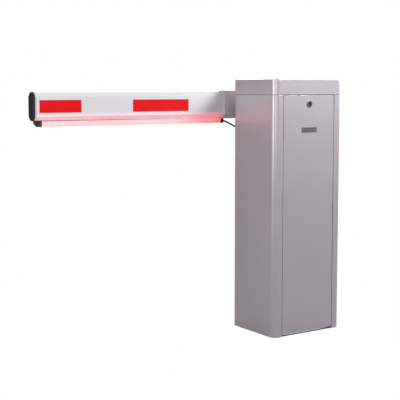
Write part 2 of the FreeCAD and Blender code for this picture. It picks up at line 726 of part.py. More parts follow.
lock_back = front + lock_reach
lock_stock = fuse(
    "lock_stock",
    [
        rod("lock_face", "y", lock_face_r, front - 3, front, 0, lock_z),
        rod("lock_neck", "y", lock_body_r, front - 0.5, lock_back, 0, lock_z),
    ],
)
lock_bore = rod("lock_bore", "y", lock_plug_r + slack, front - 5, lock_back + 1, 0, lock_z)
lock_barrel = cut("lock_barrel_cut", lock_stock, [lock_bore])
nut_stock = hexagon("nut_stock", "y", 25, front + door_skin, front + door_skin + 4, 0, lock_z)
nut_bore = rod("nut_bore", "y", lock_body_r + 0.1, front, front + 8, 0, lock_z)
lock_nut = cut("lock_nut_cut", nut_stock, [nut_bore])
node("lock_barrel", group("lock_set", [lock_barrel, lock_nut]))
plug_stock = fuse(
    "plug_stock",
    [
        rod("plug_core", "y", lock_plug_r, front - 2.2, lock_back, 0, lock_z),
        rod("plug_tail", "y", 4, lock_back - 1, lock_back + 5, 0, lock_z),
    ],
)
key_slot = box("key_slot", -1, 1, front - 3, front + 12, lock_z - 4.5, lock_z + 4.5)
node("lock_plug", cut("lock_plug_cut", plug_stock, [key_slot]))
cam_y0, cam_y1 = lock_back + fit, lock_back + fit + 3
cam_stock = link_shape("cam_stock", 0, lock_z, 8, cam_len - 6, lock_z, 6, cam_y0, cam_y1)
cam_bore = rod("cam_bore", "y", 4.1, cam_y0 - 1, cam_y1 + 1, 0, lock_z)
node("lock_cam", cut("lock_cam_cut", cam_stock, [cam_bore]))

plate_body = new_body("plate_body")
plate_plan = sketch_on(plate_body, "plate_plan", "XZ_Plane", -front)
plate_x, plate_z0, plate_z1 = badge_w / 2, badge_z - badge_h / 2, badge_z + badge_h / 2
outline(plate_plan, [(-plate_x, plate_z0), (plate_x, plate_z0), (plate_x, plate_z1), (-plate_x, plate_z1)])
plate_pad = pad(plate_body, plate_plan, 1.2)
plate_ends = edges_where(plate_pad, lambda a, b: abs(a.y - b.y) > 1)
fillet(plate_body, plate_pad, plate_ends, 2)
node("name_plate", plate_body)

# ---------------------------------------------------------------- drive frame
spacer_x, spacer_low, spacer_high = 105, frame_foot + 20, frame_top - 16
spacer_spots = [(spacer_x * i, z) for i in (-1, 1) for z in (spacer_low, spacer_high)]
idler_z = crank_z - (big_teeth + small_teeth) * slow_module / 2
motor_z = idler_z - (big_teeth + small_teeth) * fast_module / 2
case_back = front_plate + case_deep


def plate_holes(name, y0, y1):
    return [rod(f"{name}_{i}", "y", 4.4, y0 - 1, y1 + 1, x, z) for i, (x, z) in enumerate(spacer_spots)]


sensor_spots = [(sensor_circle, axis_z), (size(0), axis_z - sensor_circle)]
plate_stock = box("front_stock", -frame_x, frame_x, 0, front_plate, frame_foot, frame_top)
plate_ways = plate_holes("front_hole", size(0), front_plate) + [
    rod("front_shaft_way", "y", shaft_r + 4, -1, front_plate + 1, 0, axis_z),
    rod("front_output_way", "y", output_r + bush_wall + 0.3, -1, front_plate + 1, 0, crank_z),
    rod("front_idler_way", "y", idler_r + bush_wall + 0.3, -1, front_plate + 1, 0, idler_z),
    rod("front_motor_way", "y", rotor_r + 6, -1, front_plate + 1, 0, motor_z),
]
for i, (x, z) in enumerate(sensor_spots):
    plate_ways.append(rod(f"front_sensor_way_{i}", "y", sensor_r + 0.3, -1, front_plate + 1, x, z))
node("frame_front_plate", cut("front_plate_cut", plate_stock, plate_ways))

rear_back = rear_plate_y + rear_plate
rear_stock = box("rear_stock", -frame_x, frame_x, rear_plate_y, rear_back, frame_foot, frame_top)
rear_ways = plate_holes("rear_hole", rear_plate_y, rear_back)
rear_ways.append(rod("rear_shaft_way", "y", shaft_r + 4, rear_plate_y - 1, rear_back + 1, 0, axis_z))
rear_cut = cut("rear_plate_cut", rear_stock, rear_ways)
fixed_peg = rod(
    "fixed_peg", "y", peg_r, coil_end - 5, rear_plate_y + 1, -(coil_leg - 6), axis_z + coil_wire + peg_r + fit
)
node("frame_rear_plate", fuse("rear_plate_pegged", [rear_cut, fixed_peg]))

brackets = []
for i in (-1, 1):
    for label, face, back in (("front", front_plate, 1), ("rear", rear_plate_y, -1)):
        far = inner_x - 0.15
        x0, x1 = (frame_x - 20, far) if i > 0 else (-far, -(frame_x - 20))
        w0, w1 = (far - bracket_thick, far) if i > 0 else (-far, -(far - bracket_thick))
        a0, a1 = (face, face + bracket_thick) if back > 0 else (face - bracket_thick, face)
        b0, b1 = (face, face + 30) if back > 0 else (face - 30, face)
        leg = box(f"bracket_leg_{label}{i}", x0, x1, a0, a1, frame_foot + 40, frame_top - 21)
        side = box(f"bracket_side_{label}{i}", w0, w1, b0, b1, frame_foot + 40, frame_top - 21)
        brackets.append(fuse(f"bracket_{label}{i}", [leg, side]))
node("frame_brackets", group("bracket_set", brackets))

spacers = []
frame_bolts = []
for i, (x, z) in enumerate(spacer_spots):
    tube = rod(f"spacer_tube_{i}", "y", 8, front_plate, rear_plate_y, x, z)
    bore = rod(f"spacer_bore_{i}", "y", 4.1, front_plate - 1, rear_plate_y + 1, x, z)
    spacers.append(cut(f"spacer_{i}", tube, [bore]))
    frame_bolts.append(hex_bolt(f"bolt_front_{i}", "y", 4, size(0), front_plate + 16, x, z, 13, 5.5))
    frame_bolts.append(hex_bolt(f"bolt_rear_{i}", "y", 4, rear_back, rear_plate_y - 16, x, z, 13, 5.5))
node("frame_spacers", group("spacer_set", spacers))
node("frame_bolts", group("frame_bolt_set", frame_bolts))

housings = []
bearings = []
for label, y0 in (("front", front_plate), ("rear", rear_back)):
    y1 = y0 + housing_thick
    side = housing_side / 2
    stock = box(f"housing_stock_{label}", -side, side, y0, y1, axis_z - side, axis_z + side)
    if label == "rear":
        stock = box(f"housing_stock_{label}", -side, side, y0, y1, axis_z - side, frame_top)
    if label == "front":
        stock = box(f"housing_stock_{label}", -side, side, y0, y1, axis_z - side, frame_top)
    seat = rod(f"housing_seat_{label}", "y", bearing_r + 0.1, y0 - 1, y1 + 1, 0, axis_z)
    housings.append(cut(f"housing_{label}", stock, [seat]))
    mid = (y0 + y1) / 2
    outer = rod(f"bearing_outer_{label}", "y", bearing_r, mid - bearing_wide / 2, mid + bearing_wide / 2, 0, axis_z)
    inner = rod(f"bearing_inner_{label}", "y", shaft_r + slack, y0 - 1, y1 + 1, 0, axis_z)
    groove_r = (bearing_r + shaft_r) / 2
    grooves = [
        cut(
            f"bearing_groove_{label}{k}",
            rod(f"groove_out_{label}{k}", "y", groove_r + 3, a, b, 0, axis_z),
            [rod(f"groove_in_{label}{k}", "y", groove_r - 3, a - 1, b + 1, 0, axis_z)],
        )
        for k, a, b in (
            (0, mid - bearing_wide / 2 - 1, mid - bearing_wide / 2 + 1),
            (1, mid + bearing_wide / 2 - 1, mid + bearing_wide / 2 + 1),
        )
    ]
    bearings.append(cut(f"bearing_{label}", outer, [inner] + grooves))
node("bearing_housings", group("housing_set", housings))
node("shaft_bearings", group("bearing_set", bearings))

seal_ring = fuse(
    "seal_ring",
    [
        rod("seal_flange", "y", shaft_r + 14, rear, rear + 2.5, 0, axis_z),
        rod("seal_neck", "y", shaft_r + 8.7, inner_y, rear + 0.5, 0, axis_z),
    ],
)
seal_bore = rod("seal_bore", "y", shaft_r + fit, inner_y - 1, rear + 4, 0, axis_z)
node("shaft_seal", cut("shaft_seal_cut", seal_ring, [seal_bore]))

# ---------------------------------------------------------------- gearbox
case_x = case_w / 2
case_foot, case_head = motor_z - 21, crank_z + 69
case_stock = box("case_stock", -case_x, case_x, front_plate, case_back, case_foot, case_head)
case_room = box(
    "case_room",
    -(case_x - case_wall),
    case_x - case_wall,
    front_plate - 1,
    case_back - case_wall,
    case_foot + case_wall,
    case_head - case_wall,
)
case_ways = [
    rod("case_output_way", "y", output_r + bush_wall + 0.3, case_back - 6, case_back + 1, 0, crank_z),
    rod("case_idler_way", "y", idler_r + bush_wall + 0.3, case_back - 6, case_back + 1, 0, idler_z),
]
node("gearbox_case", cut("gearbox_case_cut", case_stock, [case_room] + case_ways))

bushes = []
for label, shaft, z in (("output", output_r, crank_z), ("idler", idler_r, idler_z)):
    for end, y0, y1 in (("front", size(0.5), front_plate + 4), ("rear", case_back - 8, case_back)):
        stock = rod(f"bush_{label}_{end}_stock", "y", shaft + bush_wall, y0, y1, 0, z)
        bore = rod(f"bush_{label}_{end}_bore", "y", shaft + slack, y0 - 1, y1 + 1, 0, z)
        bushes.append(cut(f"bush_{label}_{end}", stock, [bore]))
node("gearbox_bushes", group("bush_set", bushes))

arm_rear = -arm_y
shaft_tip = -shaft_front
wheel_y0, wheel_y1 = front_plate + 26, front_plate + 40
node("output_shaft", rod("output_bar", "y", output_r, shaft_tip, case_back - 1, 0, crank_z))
wheel_stock = gear("wheel_stock", big_teeth, slow_module, wheel_y0, wheel_y1, 0, crank_z, gap_up=False)
wheel_bore = rod("wheel_bore", "y", output_r + 0.1, wheel_y0 - 1, wheel_y1 + 1, 0, crank_z)
wheel_ways = [
    rod(f"wheel_way_{i}", "y", 10, wheel_y0 - 1, wheel_y1 + 1, size(36 * math.cos(i * math.pi / 3)),
        crank_z + 36 * math.sin(i * math.pi / 3))
    for i in range(6)
]
node("output_gear", cut("output_gear_cut", wheel_stock, [wheel_bore] + wheel_ways))

idler_wheel = gear(
    "idler_wheel", big_teeth, fast_module, front_plate + 8, front_plate + 18, 0, idler_z, gap_up=False
)
idler_pinion = gear(
    "idler_pinion", small_teeth, slow_module, front_plate + 17.5, front_plate + 41, 0, idler_z, gap_up=True
)
idler_bar = rod("idler_bar", "y", idler_r, 1.5, case_back - 1, 0, idler_z)
node("idler_gear", fuse("idler_cluster", [idler_wheel, idler_pinion, idler_bar]))

# ---------------------------------------------------------------- motor and hand wheel
motor_front = -motor_len
motor_stock = fuse(
    "motor_stock",
    [
        rod("motor_barrel", "y", motor_r, motor_front, -1, 0, motor_z),
        rod("motor_flange", "y", motor_r + 4, -8, 0, 0, motor_z),
    ],
)
motor_room = rod("motor_room", "y", motor_r - 3.5, motor_front - 1, -8, 0, motor_z)
motor_bore = rod("motor_bore", "y", rotor_r + slack, -10, 1, 0, motor_z)
node("motor_shell", cut("motor_shell_cut", motor_stock, [motor_room, motor_bore]))
cap_stock = new_body("cap_stock")
cap_plan = sketch_on(cap_stock, "cap_plan", "XZ_Plane", -motor_front)
circle(cap_plan, 0, motor_z, motor_r)
cap_pad = pad(cap_stock, cap_plan, 8)
doc.recompute()
cap_rim = [
    f"Edge{k}"
    for k, edge in enumerate(cap_pad.Shape.Edges, 1)
    if len(edge.Vertexes) == 1 and edge.Vertexes[0].Point.y < motor_front.value - 7.9
]
fillet(cap_stock, cap_pad, cap_rim, 3)
cap_bore = rod("cap_bore", "y", rotor_r + slack, motor_front - 9, motor_front + 1, 0, motor_z)
node("motor_end_cap", cut("motor_end_cap_cut", cap_stock, [cap_bore]))
wheel_tip = motor_front - 26
rotor_core = rod("rotor_core", "y", motor_r - 8, motor_front + 10, -12, 0, motor_z)
rotor_bar = rod("rotor_bar", "y", rotor_r, wheel_tip, front_plate + 21, 0, motor_z)
motor_pinion = gear(
    "motor_pinion", small_teeth, fast_module, front_plate + 6.5, front_plate + 19.5, 0, motor_z, gap_up=True
)
node("motor_rotor", fuse("rotor", [rotor_core, rotor_bar, motor_pinion]))
hand_rim = cut(
    "hand_rim",
    rod("hand_outer", "y", wheel_r, wheel_tip + 2, wheel_tip + 14, 0, motor_z),
    [rod("hand_inner", "y", wheel_r - 5, wheel_tip, wheel_tip + 16, 0, motor_z)],
)
hand_web = rod("hand_web", "y", wheel_r - 4, wheel_tip + 6, wheel_tip + 10, 0, motor_z)
hand_hub = rod("hand_hub", "y", 11, wheel_tip + 1, wheel_tip + 15, 0, motor_z)
hand_ways = [
    rod(f"hand_way_{i}", "y", 4, wheel_tip, wheel_tip + 16, size(17.5 * math.cos(i * math.pi / 3)),
        motor_z + 17.5 * math.sin(i * math.pi / 3))
    for i in range(6)
]
hand_bore = rod("hand_bore", "y", rotor_r + 0.1, wheel_tip - 1, wheel_tip + 16, 0, motor_z)
node("hand_wheel", cut("hand_wheel_cut", fuse("hand_stock", [hand_rim, hand_web, hand_hub]), hand_ways + [hand_bore]))

# ---------------------------------------------------------------- crank, link rod and boom lever
crank_x, crank_pin_z, lever_pin_z = -(crank_r * diagonal), crank_z - pin_off, axis_z - pin_off
crank_stock = link_shape("crank_stock", 0, crank_z, arm_hub_r, crank_x, crank_pin_z, rod_eye_r, arm_front, arm_rear)
crank_ways = [
    rod("crank_bore", "y", output_r + 0.1, arm_front - 1, arm_rear + 1, 0, crank_z),
]
crank_plain = cut("crank_plain", crank_stock, crank_ways)
lever_stock = link_shape("lever_stock", 0, axis_z, arm_hub_r, crank_x, lever_pin_z, rod_eye_r, arm_front, arm_rear)
lever_ways = [
    rod("lever_bore", "y", shaft_r + 0.1, arm_front - 1, arm_rear + 1, 0, axis_z),
    rod("lever_pin_way", "y", pin_r + 0.1, arm_front - 1, arm_rear + 1, crank_x, lever_pin_z),
    keyway("lever_keyway", arm_front - 1, arm_rear + 1),
]
node("boom_lever", cut("boom_lever_cut", lever_stock, lever_ways))
link_pins = []
for label, z in (("crank", crank_pin_z), ("lever", lever_pin_z)):
    stem = rod(f"{label}_pin_stem", "y", pin_r, rod_front - 4, arm_rear, crank_x, z)
    cap = rod(f"{label}_pin_cap", "y", pin_r + 4, rod_front - 4, rod_front - 1, crank_x, z)
    link_pins.append(fuse(f"{label}_pin_turned", [stem, cap]))
node("crank_arm", fuse("crank_pinned", [crank_plain, link_pins[0]]))
node("lever_pin", link_pins[1])
rod_stock = link_shape(
    "rod_stock", crank_x, crank_pin_z, rod_eye_r, crank_x, lever_pin_z, rod_eye_r, rod_front, rod_rear
)
rod_half = rod_thick / 2 + 1
rod_mid = (crank_pin_z + lever_pin_z) / 2
rod_trims = []
for i in (-1, 1):
    x0, x1 = (crank_x + rod_half, crank_x + 30) if i > 0 else (crank_x - 30, crank_x - rod_half)
    low, high = crank_pin_z + rod_eye_r + 4, lever_pin_z - rod_eye_r - 4
    rod_trims.append(box(f"rod_trim_{i}", x0, x1, rod_front - 1, rod_rear + 1, low, high))
rod_ways = [
    rod("rod_low_way", "y", pin_r + slack, rod_front - 1, rod_rear + 1, crank_x, crank_pin_z),
    rod("rod_high_way", "y", pin_r + link_play, rod_front - 1, rod_rear + 1, crank_x, lever_pin_z),
]
node("link_rod", cut("link_rod_cut", rod_stock, rod_trims + rod_ways))

# ---------------------------------------------------------------- boom shaft, stops, spring and sensors
hub_y0, hub_y1 = rear + 4, holder_y0 - hub_thick
shaft_stock = rod("shaft_stock", "y", shaft_r, shaft_tip, holder_y0 - fit, 0, axis_z)
keys = []
stop_y1 = stop_y + stop_thick
for i, (y0, y1) in enumerate(((arm_front + 1, arm_rear - 1), (stop_y + 1, stop_y1 - 1), (hub_y0 + 2, holder_y0 - 4))):
    half = key_wide / 2
    keys.append(box(f"key_{i}", -half, half, y0, y1, axis_z + shaft_r - key_tall / 2, axis_z + shaft_r + key_tall / 2))
shaft_hollow = rod("shaft_hollow", "y", shaft_bore, shaft_tip - 1, holder_y0 + 1, 0, axis_z)
node("boom_shaft", cut("boom_shaft_cut", fuse("shaft_keyed", [shaft_stock] + keys), [shaft_hollow]))

cam_hub_y0, cam_hub_y1 = arm_rear + 0.5, arm_rear + 7
cam_disc = rod("cam_disc", "y", shaft_r + 9, cam_hub_y0, cam_hub_y1, 0, axis_z)
cam_flag = box("cam_flag", 0, sensor_circle + 9, cam_hub_y1 - 3, cam_hub_y1, axis_z - 13, axis_z + 13)
cam_shaft_way = rod("cam_shaft_way", "y", shaft_r + 0.1, cam_hub_y0 - 1, cam_hub_y1 + 1, 0, axis_z)
node("sensor_cam", cut("sensor_cam_cut", fuse("cam_formed", [cam_disc, cam_flag]), [cam_shaft_way]))
sensors = []
for i, (x, z) in enumerate(sensor_spots):
    face_y = cam_hub_y1 + 2.5
    barrel = rod(f"sensor_barrel_{i}", "y", sensor_r, face_y, 25, x, z)
    nut_front = hexagon(f"sensor_nut_front_{i}", "y", 17, -4, 0, x, z)
    nut_rear = hexagon(f"sensor_nut_rear_{i}", "y", 17, front_plate, front_plate + 4, x, z)
    sensors.append(fuse(f"sensor_{i}", [barrel, nut_front, nut_rear]))
node("limit_sensors", group("sensor_set", sensors))

stop_hub = rod("stop_hub", "y", arm_hub_r, stop_y, stop_y1, 0, axis_z)
stop_bar = box("stop_bar", 0, stop_arm, stop_y, stop_y1, axis_z - stop_half, axis_z + stop_half)
moving_peg_z = axis_z - coil_wire - peg_r - fit
moving_peg = rod("moving_peg", "y", peg_r, stop_y1 - 1, coil_start + 5, coil_leg - 6, moving_peg_z)
stop_ways = [
    rod("stop_bore", "y", shaft_r + 0.1, stop_y - 1, stop_y1 + 1, 0, axis_z),
    keyway("stop_keyway", stop_y - 1, stop_y1 + 1),
]
stop_formed = cut("stop_formed", fuse("stop_stock", [stop_hub, stop_bar]), stop_ways)
node("stop_lever", fuse("stop_pegged", [stop_formed, moving_peg]))
buffer_y = (stop_y + stop_y1) / 2
down_z0 = axis_z + stop_half + stop_gap
down_x = stop_arm - 12
up_x1 = -(stop_half + stop_gap)
up_z = axis_z - stop_arm + 12
node(
    "stop_buffers",
    group(
        "buffer_set",
        [
            rod("buffer_down", "z", buffer_r, down_z0, down_z0 + buffer_len, down_x, buffer_y),
            rod("buffer_up", "x", buffer_r, up_x1 - buffer_len, up_x1, buffer_y, up_z),
        ],
    ),
)
down_cap = down_z0 + buffer_len
up_cap = up_x1 - buffer_len
node(
    "stop_brackets",
    group(
        "stop_bracket_set",
        [
            box("stop_down", down_x - 11, down_x + 11, front_plate, stop_y1, down_cap, down_cap + 7),
            box("stop_up", up_cap - 10, up_cap, front_plate, stop_y1, up_z - 14, up_z + 14),
        ],
    ),
)

coil_len = coil_end - coil_start
arc_count = round(coil_turns.value * 8)


def coil_point(arcs):
    """A point on the spring's centre line, counted in arcs of about an eighth of a turn."""
    a = 2 * math.pi * coil_turns.value * arcs / arc_count
    r = coil_r.value
    return Vector(r * math.cos(a), r * math.sin(a), coil_len.value * arcs / arc_count)


coil_arcs = [Part.Arc(coil_point(i), coil_point(i + 0.5), coil_point(i + 1)) for i in range(arc_count)]
coil_rise = coil_len.value / coil_turns.value / (2 * math.pi)
coil_ring = Part.Circle(coil_point(0), Vector(0, coil_r.value, coil_rise), coil_wire.value)
coil = doc.addObject("Part::Feature", "coil")
coil.Shape = Part.Wire([arc.toShape() for arc in coil_arcs]).makePipeShell(
    [Part.Wire([coil_ring.toShape()])], True, True
)
coil.Placement = Placement(Vector(), Rotation(Vector(1, 0, 0), -90))
bind(coil, "Placement.Base.y", coil_start)
bind(coil, "Placement.Base.z", axis_z)
spring_bits = [coil]
for label, way, y in (("moving", 1, coil_start), ("fixed", -1, coil_end)):
    ball = doc.addObject("Part::Sphere", f"coil_ball_{label}")
    bind(ball, "Radius", coil_wire + 0.25)
    place(ball, coil_r * way, y, axis_z)
    x0, x1 = (coil_r, coil_leg) if way > 0 else (-coil_leg, -coil_r)
    spring_bits += [ball, rod(f"coil_leg_{label}", "x", coil_wire, x0, x1, y, axis_z)]
node("balance_spring", fuse("spring", spring_bits))

# ---------------------------------------------------------------- electrics
panel_x = inner_x
panel_bits = [box("panel_sheet", -panel_x, panel_x, panel_y, panel_y + 2, panel_foot, panel_top)]
for i in (-1, 1):
    x0, x1 = (panel_x - 2, panel_x) if i > 0 else (-panel_x, -(panel_x - 2))
    panel_bits.append(box(f"panel_fold_{i}", x0, x1, panel_y + 1, panel_y + 30, panel_foot, panel_top))
node("mounting_panel", fuse("panel", panel_bits))
box_z0, box_z1 = panel_top - 200, panel_top - 20
box_stock = box("box_stock", -105, 105, panel_y - 42, panel_y, box_z0, box_z1)
box_room = box("box_room", -102, 102, panel_y - 43, panel_y - 3, box_z0 + 3, box_z1 - 3)
node("control_box", cut("control_box_cut", box_stock, [box_room]))
cover_stock = box("cover_stock", -105, 105, panel_y - 56, panel_y - 42, box_z0, box_z1)
cover_room = box("cover_room", -102, 102, panel_y - 53, panel_y - 41, box_z0 + 3, box_z1 - 3)
node("control_box_cover", cut("control_cover_cut", cover_stock, [cover_room]))
rail_z = panel_foot + 130
rail_bits = [
    box("din_foot_low", -120, 120, panel_y - 1.5, panel_y, rail_z - 17.5, rail_z - 12),
    box("din_foot_high", -120, 120, panel_y - 1.5, panel_y, rail_z + 12, rail_z + 17.5),
    box("din_face", -120, 120, panel_y - 7.5, panel_y - 6, rail_z - 13.5, rail_z + 13.5),
    box("din_side_low", -120, 120, panel_y - 7.5, panel_y, rail_z - 13.5, rail_z - 12),
    box("din_side_high", -120, 120, panel_y - 7.5, panel_y, rail_z + 12, rail_z + 13.5),
]
node("din_rail", fuse("din_hat", rail_bits))
breaker_y = panel_y - 7.5
breaker_stock = box("breaker_stock", -100, -64, breaker_y - 44, breaker_y, rail_z - 42, rail_z + 42)
breaker_nose = box("breaker_nose", -100, -64, breaker_y - 60, breaker_y - 43, rail_z - 22, rail_z + 22)
breaker_tab = box("breaker_tab", -90, -74, breaker_y - 68, breaker_y - 59, rail_z - 4, rail_z + 8)
node("circuit_breaker", fuse("breaker", [breaker_stock, breaker_nose, breaker_tab]))
terminals = [
    box(f"terminal_{i}", -40 + 12 * i, -28.4 + 12 * i, breaker_y - 40, breaker_y, rail_z - 24, rail_z + 24)
    for i in range(12)
]
node("terminal_block", group("terminal_set", terminals))

# ---------------------------------------------------------------- hub, holder and boom
hub_stock = fuse(
    "hub_stock",
    [
        rod("hub_boss", "y", hub_boss_r, hub_y0, hub_y1 + 1, 0, axis_z),
        rod("hub_disc", "y", hub_r, hub_y1, holder_y0, 0, axis_z),
    ],
)
clamp_off = clamp_circle * diagonal
clamp_spots = [(clamp_off * i, axis_z + clamp_off * j) for i in (-1, 1) for j in (-1, 1)]
hub_mid = (hub_y0 + hub_y1) / 2
hub_ways = [
    rod("hub_bore", "y", shaft_r + 0.1, hub_y0 - 1, holder_y0 + 1, 0, axis_z),
    keyway("hub_keyway", hub_y0 - 1, holder_y0 - 3),
    rod("hub_lead_way", "z", 5.1, axis_z - hub_boss_r - 5, axis_z - shaft_r - 2, 0, hub_mid),
]
hub_ways += [
    rod(f"hub_clamp_way_{i}", "y", clamp_r + 0.1, hub_y1 - 1, holder_y0 + 1, x, z)
    for i, (x, z) in enumerate(clamp_spots)
]
node("hub_flange", cut("hub_flange_cut", hub_stock, hub_ways))

split0, split1 = boom_yc - holder_split / 2, boom_yc + holder_split / 2
boom_back = boom_y0 + boom_deep
holder_y1 = boom_back + fit + holder_wall
for label, low, high in (("holder_front", split0, holder_y1 + 5), ("holder_rear", holder_y0 - 5, split1)):
    outer = boom_prism(f"{label}_outer", -holder_reach, holder_root, fit + holder_wall)
    inner = boom_prism(f"{label}_inner", -holder_reach - 1, holder_root + 1, fit)
    away = box(f"{label}_away", -holder_reach - 2, holder_root + 2, low, high, axis_z - 70, axis_z + 70)
    ways = [
        rod(f"{label}_way_{i}", "y", clamp_r + 0.3, holder_y0 - 1, holder_y1 + 1, x, z)
        for i, (x, z) in enumerate(clamp_spots)
    ]
    node(label, cut(f"{label}_cut", outer, [inner, away] + ways))
clamp_bolts = [
    hex_bolt(f"clamp_bolt_{i}", "y", clamp_r, holder_y1, hub_y1 + 2, x, z, 16, 6.4)
    for i, (x, z) in enumerate(clamp_spots)
]
node("holder_bolts", group("clamp_bolt_set", clamp_bolts))

boom_outer = boom_prism("boom_outer", -boom_tip, boom_root, 0)
boom_inner = boom_prism("boom_inner", -boom_tip - 1, boom_root + 1, -boom_wall)
boom_ways = [
    rod(f"boom_way_{i}", "y", clamp_r + 0.3, boom_y0 - 1, boom_back + 1, x, z) for i, (x, z) in enumerate(clamp_spots)
]
node("boom_profile", cut("boom_cut", boom_outer, [boom_inner] + boom_ways))

cap_face = boom_prism("cap_face", -boom_tip - cap_thick, -boom_tip, cap_proud)
cap_face_pad = [item for item in cap_face.Group if item.TypeId == "PartDesign::Pad"][0]
tip_x = -(boom_tip + cap_thick).value
cap_rounds = edges_where(cap_face_pad, lambda a, b: max(a.x, b.x) < tip_x + 0.01)
fillet(cap_face, cap_face_pad, cap_rounds, 5)
root_face = boom_prism("root_face", boom_root, boom_root + 5, 0)
plugs = []
for label, x0, x1 in (("tip", -boom_tip, -boom_tip + cap_plug), ("root", boom_root - cap_plug, boom_root)):
    outer = boom_prism(f"plug_outer_{label}", x0, x1, -(boom_wall + fit))
    inner = boom_prism(f"plug_inner_{label}", x0 - 1, x1 + 1, -(boom_wall + fit + 3))
    plugs.append(cut(f"plug_ring_{label}", outer, [inner]))
caps = [fuse("tip_cap", [cap_face, plugs[0]]), fuse("root_cap", [root_face, plugs[1]])]
node("boom_caps", group("cap_set", caps))

tape_z0, tape_z1 = axis_z - tape_tall / 2, axis_z + tape_tall / 2
first0 = -(boom_tip - tape_tip_gap)
first1 = first0 + tape_short
second0 = first1 + tape_space
second1 = second0 + tape_long
tapes = []
for i, (x0, x1) in enumerate(((first0, first1), (second0, second1))):
    tapes.append(box(f"tape_front_{i}", x0, x1, boom_y0 - tape_thick, boom_y0, tape_z0, tape_z1))
    tapes.append(box(f"tape_rear_{i}", x0, x1, boom_back, boom_back + tape_thick, tape_z0, tape_z1))
node("reflective_tapes", group("tape_set", tapes))

# ---------------------------------------------------------------- light under the boom
rail_half = rail_wide / 2
web_foot = boom_foot - rail_wall
light_rail_bits = [box("rail_web", -light_out, -light_in, boom_yc - rail_half, boom_yc + rail_half, web_foot, boom_foot)]
for i in (-1, 1):
    y0, y1 = (boom_yc + rail_half - rail_wall, boom_yc + rail_half)
    if i < 0:
        y0, y1 = (boom_yc - rail_half, boom_yc - rail_half + rail_wall)
    light_rail_bits.append(box(f"rail_side_{i}", -light_out, -light_in, y0, y1, boom_foot - rail_tall, boom_foot))
node("light_rail", fuse("light_channel", light_rail_bits))

light_r = light_wide / 2
light_foot = boom_foot - light_tall
light_z = light_foot + light_r
light_top = web_foot - fit


def light_bar(name, x0, x1, thin):
    """The diffuser's round-bottomed section, thinned by an amount on every side."""
    radius = light_r - thin
    low = rod(f"{name}_low", "x", radius, x0, x1, boom_yc, light_z)
    high = box(f"{name}_high", x0, x1, boom_yc - radius, boom_yc + radius, light_z, light_top - thin)
    return fuse(name, [low, high])


light_skin_outer = light_bar("light_outer", -light_out, -light_in, size(0))
light_skin_inner = light_bar("light_inner", -light_out - 1, -light_in + 1, light_skin)
node("light_diffuser", cut("light_diffuser_cut", light_skin_outer, [light_skin_inner]))
strip_top = light_top - light_skin - fit
node("light_strip", box("strip", -light_out + 14, -light_in - 14, boom_yc - 5, boom_yc + 5, strip_top - 1.2, strip_top))

wedge = new_body("wedge")
wedge_plan = sketch_on(wedge, "wedge_plan", "XZ_Plane", -(boom_yc + rail_half))
wedge_out = -light_out - light_plug
outline(
    wedge_plan,
    [
        (-light_out, light_foot - 0.5),
        (-light_out, boom_foot - fit),
        (wedge_out, boom_foot - fit),
        (wedge_out, boom_foot - light_tall / 2),
        (wedge_out + 11, light_foot - 0.5),
    ],
)
pad(wedge, wedge_plan, rail_wide)
wedge_spigot = rod("wedge_spigot", "x", light_r - light_skin - fit, -light_out - 1, -light_out + 12, boom_yc, light_z)
stub_top = boom_foot - fit * 2 - holder_wall
stub = box(
    "stub", -light_in, -light_in + light_stub, boom_yc - light_r - 0.5, boom_yc + light_r + 0.5, light_foot - 0.5, stub_top
)
stub_spigot = rod("stub_spigot", "x", light_r - light_skin - fit, -light_in - 12, -light_in + 1, boom_yc, light_z)
light_plugs = [fuse("tip_plug", [wedge, wedge_spigot]), fuse("stub_plug", [stub, stub_spigot])]
node("light_plugs", group("light_plug_set", light_plugs))

gland_foot = axis_z - hub_boss_r - 12
gland_nut = hexagon("gland_nut", "z", 13, gland_foot, gland_foot + 9, 0, hub_mid)
gland_neck = rod("gland_neck", "z", 5, gland_foot + 8, axis_z - hub_boss_r + 8, 0, hub_mid)
node("lead_gland", fuse("gland", [gland_nut, gland_neck]))

lead_start = -light_in + light_stub
lead_points = [
    (lead_start, boom_yc, boom_foot - 13),
    (lead_start + 24, boom_yc, boom_foot - 13),
    (lead_start + 65, boom_yc - 4.5, boom_foot - 33),
    (size(-60), hub_mid + 23, boom_foot - 61),
    (size(0), hub_mid, boom_foot - 41),
    (size(0), hub_mid, gland_foot),
]
spots = [Vector(x.value, y.value, z.value) for x, y, z in lead_points]
lead_edges = []
here = spots[0]
lead_len = 0.0
for before, corner, after in zip(spots, spots[1:], spots[2:]):
    back, ahead = before - corner, after - corner
    turn = math.pi - back.getAngle(ahead)
    radius = 0.45 * min(back.Length, ahead.Length) / math.tan(turn / 2)
    print(f"lead bend: radius {radius:.1f}, turn {math.degrees(turn):.1f}")
    reach = radius * math.tan(turn / 2)
    back.normalize()
    ahead.normalize()
    start, end = corner + back * reach, corner + ahead * reach
    bisector = back + ahead
    bisector.normalize()
    middle = corner + bisector * (radius / math.cos(turn / 2) - radius)
    lead_edges.append(Part.LineSegment(here, start).toShape())
    lead_edges.append(Part.Arc(start, middle, end).toShape())
    here = end
lead_edges.append(Part.LineSegment(here, spots[-1]).toShape())
lead_path = Part.Wire(lead_edges)
lead_r = (lead_d / 2).value
lead_ring = Part.Wire([Part.Circle(spots[0], Vector(1, 0, 0), lead_r).toShape()])
lead = doc.addObject("Part::Feature", "lead")
lead.Shape = lead_path.makePipeShell([lead_ring], True, True)
lead_ratio = lead.Shape.Volume / (math.pi * lead_r**2 * lead_path.Length)
print(f"lead: length {lead_path.Length:.1f}, volume over section times length {lead_ratio:.4f}")
node("light_lead", lead)

